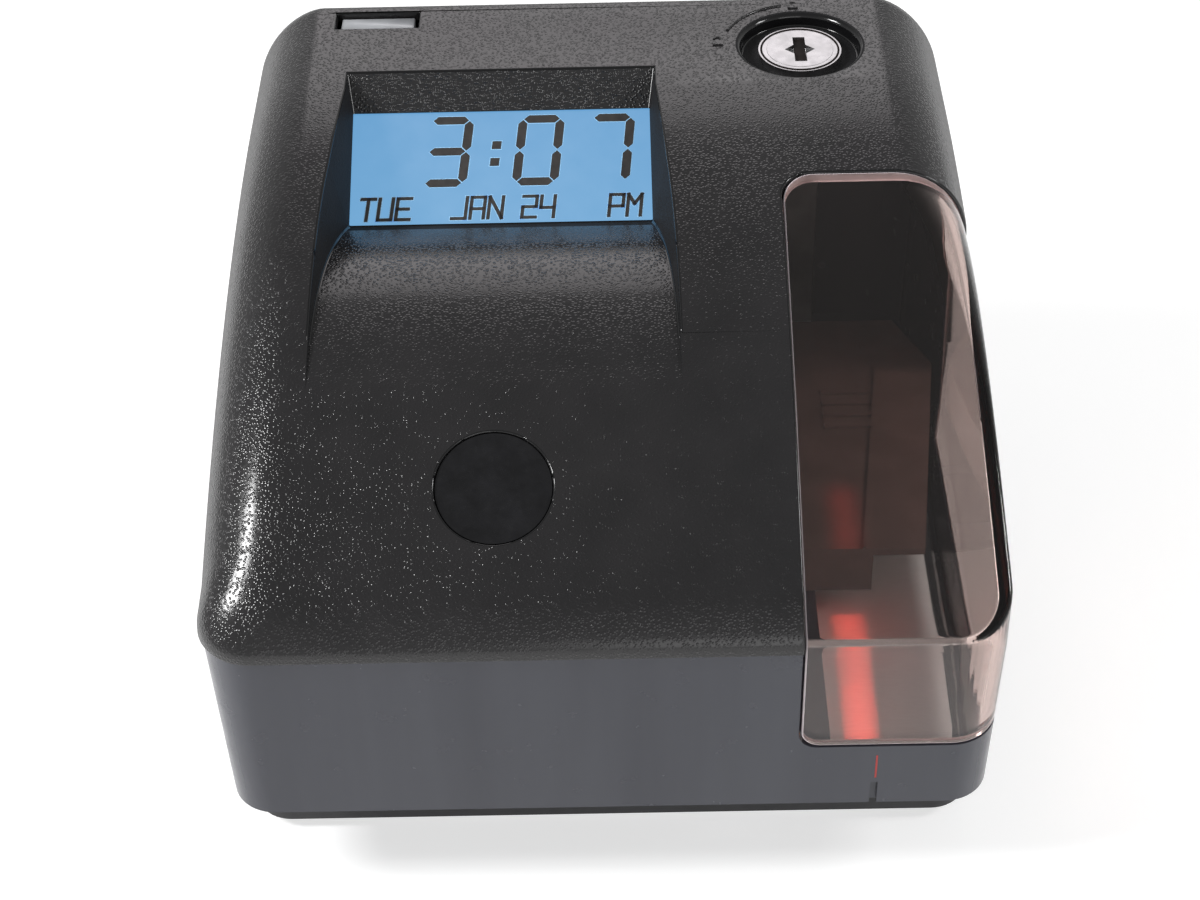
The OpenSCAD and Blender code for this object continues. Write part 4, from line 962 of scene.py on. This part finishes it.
def word_outlines(left, word, extra):
    top, base = from_top(WORD_TOP), from_top(WORD_BASE)
    outlines = []
    for i, letter in enumerate(word):
        x = from_left(left + LETTER_STEP * i)
        for x0, y0, x1, y1 in STROKES[letter]:
            points = stroke_points(x + x0 * LETTER_W, base + y0 * (top - base),
                                   x + x1 * LETTER_W, base + y1 * (top - base), LETTER_T + extra)
            outlines.append(slanted(points, base))
    return outlines


def readout_outlines(extra):
    """Outlines of the readout on the display plane, grown by a margin."""
    outlines = []
    for left, digit in TIME:
        outlines += digit_outlines(left, digit, extra)
    size = 2 * DOT_HALF + extra
    for share in COLON_DOTS:
        dot = [(from_left(COLON_LEFT) + x, from_top(share) + y) for x, y in rectangle(size, size)]
        outlines.append(slanted(dot, from_top(sum(COLON_DOTS) / 2)))
    for left, word in WORDS:
        outlines += word_outlines(left, word, extra)
    return outlines


def plates_object(name, outlines, low, high, place):
    verts, faces = [], []
    for outline in outlines:
        n, k = len(outline), len(verts)
        verts += [place @ Vector((x, y, low)) for x, y in outline]
        verts += [place @ Vector((x, y, high)) for x, y in outline]
        faces.append(tuple(k + n - 1 - i for i in range(n)))
        faces.append(tuple(k + n + i for i in range(n)))
        faces += [(k + i, k + (i + 1) % n, k + n + (i + 1) % n, k + n + i) for i in range(n)]
    return mesh_object(name, verts, faces)


ink = Shader("lcd_ink", (0.045, 0.042, 0.04), 0.35)
ink.tint(ink.noise(2, 3), (0.036, 0.034, 0.034), (0.055, 0.05, 0.047))
ink.roughness(ink.noise(1, 2), 0.3, 0.4)
halo = Shader("lcd_halo", (0.3, 0.55, 0.8), 0.3, Emission_Color=(0.3, 0.55, 0.8, 1), Emission_Strength=0.25)
halo.roughness(halo.noise(1, 2), 0.25, 0.35)
for name, extra, low, high, mat in (("readout_halo", HALO, INK_LOW - 0.015, INK_LOW + 0.02, halo.mat),
                                    ("readout_ink", 0.0, INK_LOW, INK_HIGH, ink.mat)):
    piece = plates_object(name, readout_outlines(extra), low, high, display_place)
    add(piece, "base", "lcd_blue")
    piece.data.materials[0] = mat


def tube_object(name, path, radius, closed=False, steps=12):
    """A round bar along a flat path in millimetres, with its ends closed."""
    verts, faces = [], []
    count = len(path)
    for i, p in enumerate(path):
        before = path[(i - 1) % count] if closed or i > 0 else p
        after = path[(i + 1) % count] if closed or i < count - 1 else p
        along = (Vector(after) - Vector(before)).normalized()
        side = along.cross(Vector((0, 0, 1))).normalized()
        up = side.cross(along)
        for k in range(steps):
            a = 2 * math.pi * k / steps
            verts.append(Vector(p) + (side * math.cos(a) + up * math.sin(a)) * radius)
    for i in range(count if closed else count - 1):
        j = (i + 1) % count
        for k in range(steps):
            m = (k + 1) % steps
            faces.append((i * steps + k, j * steps + k, j * steps + m, i * steps + m))
    if not closed:
        faces.append(tuple(range(steps)))
        faces.append(tuple((count - 1) * steps + k for k in range(steps - 1, -1, -1)))
    obj = mesh_object(name, verts, faces)
    flip_if_inside_out(obj)
    smooth(obj, 40)
    return obj


# Raised arc beside the lock with a padlock at each end, one shut and one open

def arc_path(cx, cy, r, start, end, z, steps=28):
    return [(cx + r * math.cos(math.radians(start + (end - start) * i / steps)),
             cy + r * math.sin(math.radians(start + (end - start) * i / steps)), z) for i in range(steps + 1)]


ARC_R = 17.8
ARC_ENDS = (101, 158)
ARC_TUBE = 0.42
MARK_HALF = 1.2
MARK_LOW = 1.0
MARK_HIGH = 0.7
MARK_SINK = 0.2
MARK_RISE = 0.35
LOOP_R = 0.85
LOOP_FOOT = 0.6
LOOP_MID = 0.8
LOOP_Z = TOP_Z + 0.1
LOOP_TUBE = 0.28

arc = arc_path(LOCK.x, LOCK.y, ARC_R, *ARC_ENDS, TOP_Z)
add(tube_object("turn_mark", arc, ARC_TUBE), "cover", "cover_plastic")
for name, x, y, lift in (("mark_shut", 46.4, 77.6, 0.0), ("mark_open", 28.0, 61.6, 0.8)):
    body = [(x - MARK_HALF, y - MARK_LOW), (x + MARK_HALF, y - MARK_LOW),
            (x + MARK_HALF, y + MARK_HIGH), (x - MARK_HALF, y + MARK_HIGH)]
    add(prism_object(name + "_body", body, TOP_Z - MARK_SINK, TOP_Z + MARK_RISE), "cover", "cover_plastic")
    loop = [(x + LOOP_R, y + LOOP_FOOT, LOOP_Z)]
    loop += arc_path(x, y + LOOP_MID + lift, LOOP_R, 0, 180, LOOP_Z, 14)
    add(tube_object(name + "_loop", loop, LOOP_TUBE), "cover", "cover_plastic")

# Thin red line over the sight notch in the front of the housing

SIGHT_LOW = 31.0
SIGHT_HIGH = 38.0
SIGHT_W = 0.4
SIGHT_SINK = 0.1
SIGHT_PROUD = 0.04


def housing_front(z):
    """Where the drafted front of the housing lies at a height."""
    return -HALF_D + SEAM_STEP + HOUSING_DRAFT * (SEAM_Z - z) / (SEAM_Z - ROOF_Z)


def make_sight_line():
    left, right = PRINT_X - SIGHT_W / 2, PRINT_X + SIGHT_W / 2
    corners = [(left, SIGHT_LOW), (right, SIGHT_LOW), (right, SIGHT_HIGH), (left, SIGHT_HIGH)]
    verts = [(x, housing_front(z) + off, z) for off in (SIGHT_SINK, -SIGHT_PROUD) for x, z in corners]
    faces = [(0, 1, 2, 3), (7, 6, 5, 4), (0, 4, 5, 1), (1, 5, 6, 2), (2, 6, 7, 3), (3, 7, 4, 0)]
    line = mesh_object("sight_line", verts, faces)
    flip_if_inside_out(line)
    return line


add(make_sight_line(), "base", "key_red")

# Dark plates that paint the shade inside the key slot and its wings in the lock's face, and the dark line
# round the plug

FACE_Z = LOCK.z + 1.8
KEY_W = 2.8
KEY_L = 10.6
KEY_GAP = 0.1
SLOT_SHADE_LOW = 5.1
SLOT_SHADE_TOP = 0.6
WING = ((1.45, -1.85), (3.4, 0), (1.45, 1.85))
WING_LOW = 0.8
WING_TOP = 0.75
PLUG_R = 8.95
PLUG_TUBE = 0.26
PLUG_STEPS = 90

# One dark finish for the painted shade down in the key slot and for the dark joint round the plug.
dark = Shader("keyway_shade_and_joint", (0.012, 0.009, 0.008), 0.75, Specular_IOR_Level=0.15)
dark.tint(dark.noise(2, 3), (0.009, 0.007, 0.006), (0.018, 0.013, 0.012))
dark.bump(dark.noise(0.5, 2), 0.2, 0.05)
wings = [[(LOCK.x + side * x, LOCK.y + side * y) for x, y in WING] for side in (1, -1)]
# A dark plate at the floor of the keyway's wings: painted shade.
wing_shade_plates = plates_object("keyway_wing_shade", wings, FACE_Z - WING_LOW, FACE_Z - WING_TOP, Matrix())
add(wing_shade_plates, "lock", "part_black")
# A dark plate down in the key slot: painted shade.
slot = [(LOCK.x + x, LOCK.y + y) for x, y in rectangle(KEY_W - KEY_GAP, KEY_L - KEY_GAP)]
slot_shade = add(prism_object("key_slot_shade", slot, FACE_Z - SLOT_SHADE_LOW, FACE_Z - SLOT_SHADE_TOP), "lock", "part_black")
ring = arc_path(LOCK.x, LOCK.y, PLUG_R, 0, 360 - 360 / PLUG_STEPS, FACE_Z - 0.04, PLUG_STEPS - 1)
plug_line = add(tube_object("plug_line", ring, PLUG_TUBE, True), "cover", "part_black")
for piece in (slot_shade, plug_line):
    piece.data.materials[0] = dark.mat


# Camera, lights and floor

def camera_matrix(place, yaw, pitch, roll):
    ahead = Vector((math.sin(yaw) * math.cos(pitch), math.cos(yaw) * math.cos(pitch), -math.sin(pitch)))
    right = ahead.cross(Vector((0, 0, 1))).normalized()
    down = -right.cross(ahead)
    turned_right = right * math.cos(roll) + down * math.sin(roll)
    turned_up = -(down * math.cos(roll) - right * math.sin(roll))
    turn = Matrix((turned_right, turned_up, -ahead)).transposed().to_4x4()
    return Matrix.Translation(place) @ turn


FILM_W = 36.0
FOCAL_SHARE = 2441 / 1200
CAMERA_PLACE = Vector((3.395, -431.4, 416.0))
YAW, PITCH, ROLL = (math.radians(turn) for turn in (-0.599, 40.3, 1.473))

lens = bpy.data.cameras.new("camera")
lens.sensor_width = FILM_W
lens.lens = FILM_W * FOCAL_SHARE
lens.clip_start = 0.01
camera = bpy.data.objects.new("camera", lens)
camera.matrix_world = camera_matrix(CAMERA_PLACE * MM, YAW, PITCH, ROLL)
bpy.context.scene.collection.objects.link(camera)
bpy.context.scene.camera = camera


def area_light(name, place, target, size, power, color=(1, 1, 1), spread=180):
    """A lamp in metres and watts that looks from its place to a target."""
    data = bpy.data.lights.new(name, "AREA")
    data.shape = "RECTANGLE"
    data.size, data.size_y = size
    data.energy = power
    data.color = color
    data.spread = math.radians(spread)
    obj = bpy.data.objects.new(name, data)
    obj.location = place
    obj.rotation_euler = (Vector(target) - Vector(place)).to_track_quat("-Z", "Y").to_euler()
    bpy.context.scene.collection.objects.link(obj)
    return obj


area_light("key_left", (-0.7, -0.17, 0.67), (0, -0.03, 0.09), (0.24, 0.24), 7)
area_light("back", (-0.02, 1.05, 0.74), (0, 0, 0.1), (0.7, 0.5), 1.55, (1, 0.95, 0.97))
area_light("right_fill", (0.85, -0.06, 0.66), (0.05, -0.03, 0.05), (0.24, 0.24), 3)
area_light("front_fill", (0.35, -1.0, 0.3), (0, 0, 0.05), (0.8, 0.4), 1.6)
SIGHT_RED = (1, 0.1, 0.07)
beam_x = PRINT_X * MM
shine_x = beam_x - 0.004
sight_beam = area_light("sight_beam", (beam_x, -0.039, 0.0485), (beam_x, -0.0391, 0), (0.0042, 0.044), 0.0038,
                        SIGHT_RED, 10)
sight_glow = area_light("sight_glow", (shine_x, -0.04, 0.08), (shine_x, -0.039, 0.05), (0.003, 0.022), 0.0004,
                        SIGHT_RED, 30)
for lamp in (sight_beam, sight_glow):
    lamp.visible_camera = False
    lamp.visible_glossy = False
    lamp.visible_transmission = False

world = bpy.data.worlds.new("world")
world.use_nodes = True
bpy.context.scene.world = world
sky = world.node_tree
backdrop = sky.nodes["Background"]
backdrop.inputs["Color"].default_value = (1, 1, 1, 1)
direction = sky.nodes.new("ShaderNodeSeparateXYZ")
sky.links.new(sky.nodes.new("ShaderNodeTexCoord").outputs["Generated"], direction.inputs[0])
fade = sky.nodes.new("ShaderNodeMapRange")
fade.inputs["From Min"].default_value = 0.1
fade.inputs["From Max"].default_value = 0.8
fade.inputs["To Min"].default_value = 0.62
fade.inputs["To Max"].default_value = 0.27
sky.links.new(direction.outputs["Z"], fade.inputs["Value"])
seen = sky.nodes.new("ShaderNodeMath")
seen.operation = "MAXIMUM"
sky.links.new(fade.outputs["Result"], seen.inputs[0])
sky.links.new(sky.nodes.new("ShaderNodeLightPath").outputs["Is Camera Ray"], seen.inputs[1])
sky.links.new(seen.outputs["Value"], backdrop.inputs["Strength"])

FLOOR_HALF = 3000
FLOOR_T = 10
FLOOR_GLOW = 0.6

floor = box_object("floor", (-FLOOR_HALF, -FLOOR_HALF, -FLOOR_T), (FLOOR_HALF, FLOOR_HALF, 0))
pale = Shader("floor_pale", (0.6, 0.6, 0.6), 0.7, Emission_Color=(1, 1, 1, 1))
pale.tint(pale.noise(300, 2), (0.6, 0.6, 0.6), (0.61, 0.61, 0.61))
path = pale.node("ShaderNodeLightPath")
seen_ray = path.outputs["Is Camera Ray"]
for kind in ("Is Glossy Ray", "Is Transmission Ray"):
    either = pale.node("ShaderNodeMath", operation="MAXIMUM")
    pale.link(seen_ray, either.inputs[0])
    pale.link(path.outputs[kind], either.inputs[1])
    seen_ray = either.outputs["Value"]
pale.link(pale.ramp(seen_ray, (0, 0), (1, FLOOR_GLOW)), pale.bsdf.inputs["Emission Strength"])
floor.data.materials.append(pale.mat)

bpy.context.scene.view_settings.view_transform = "Standard"
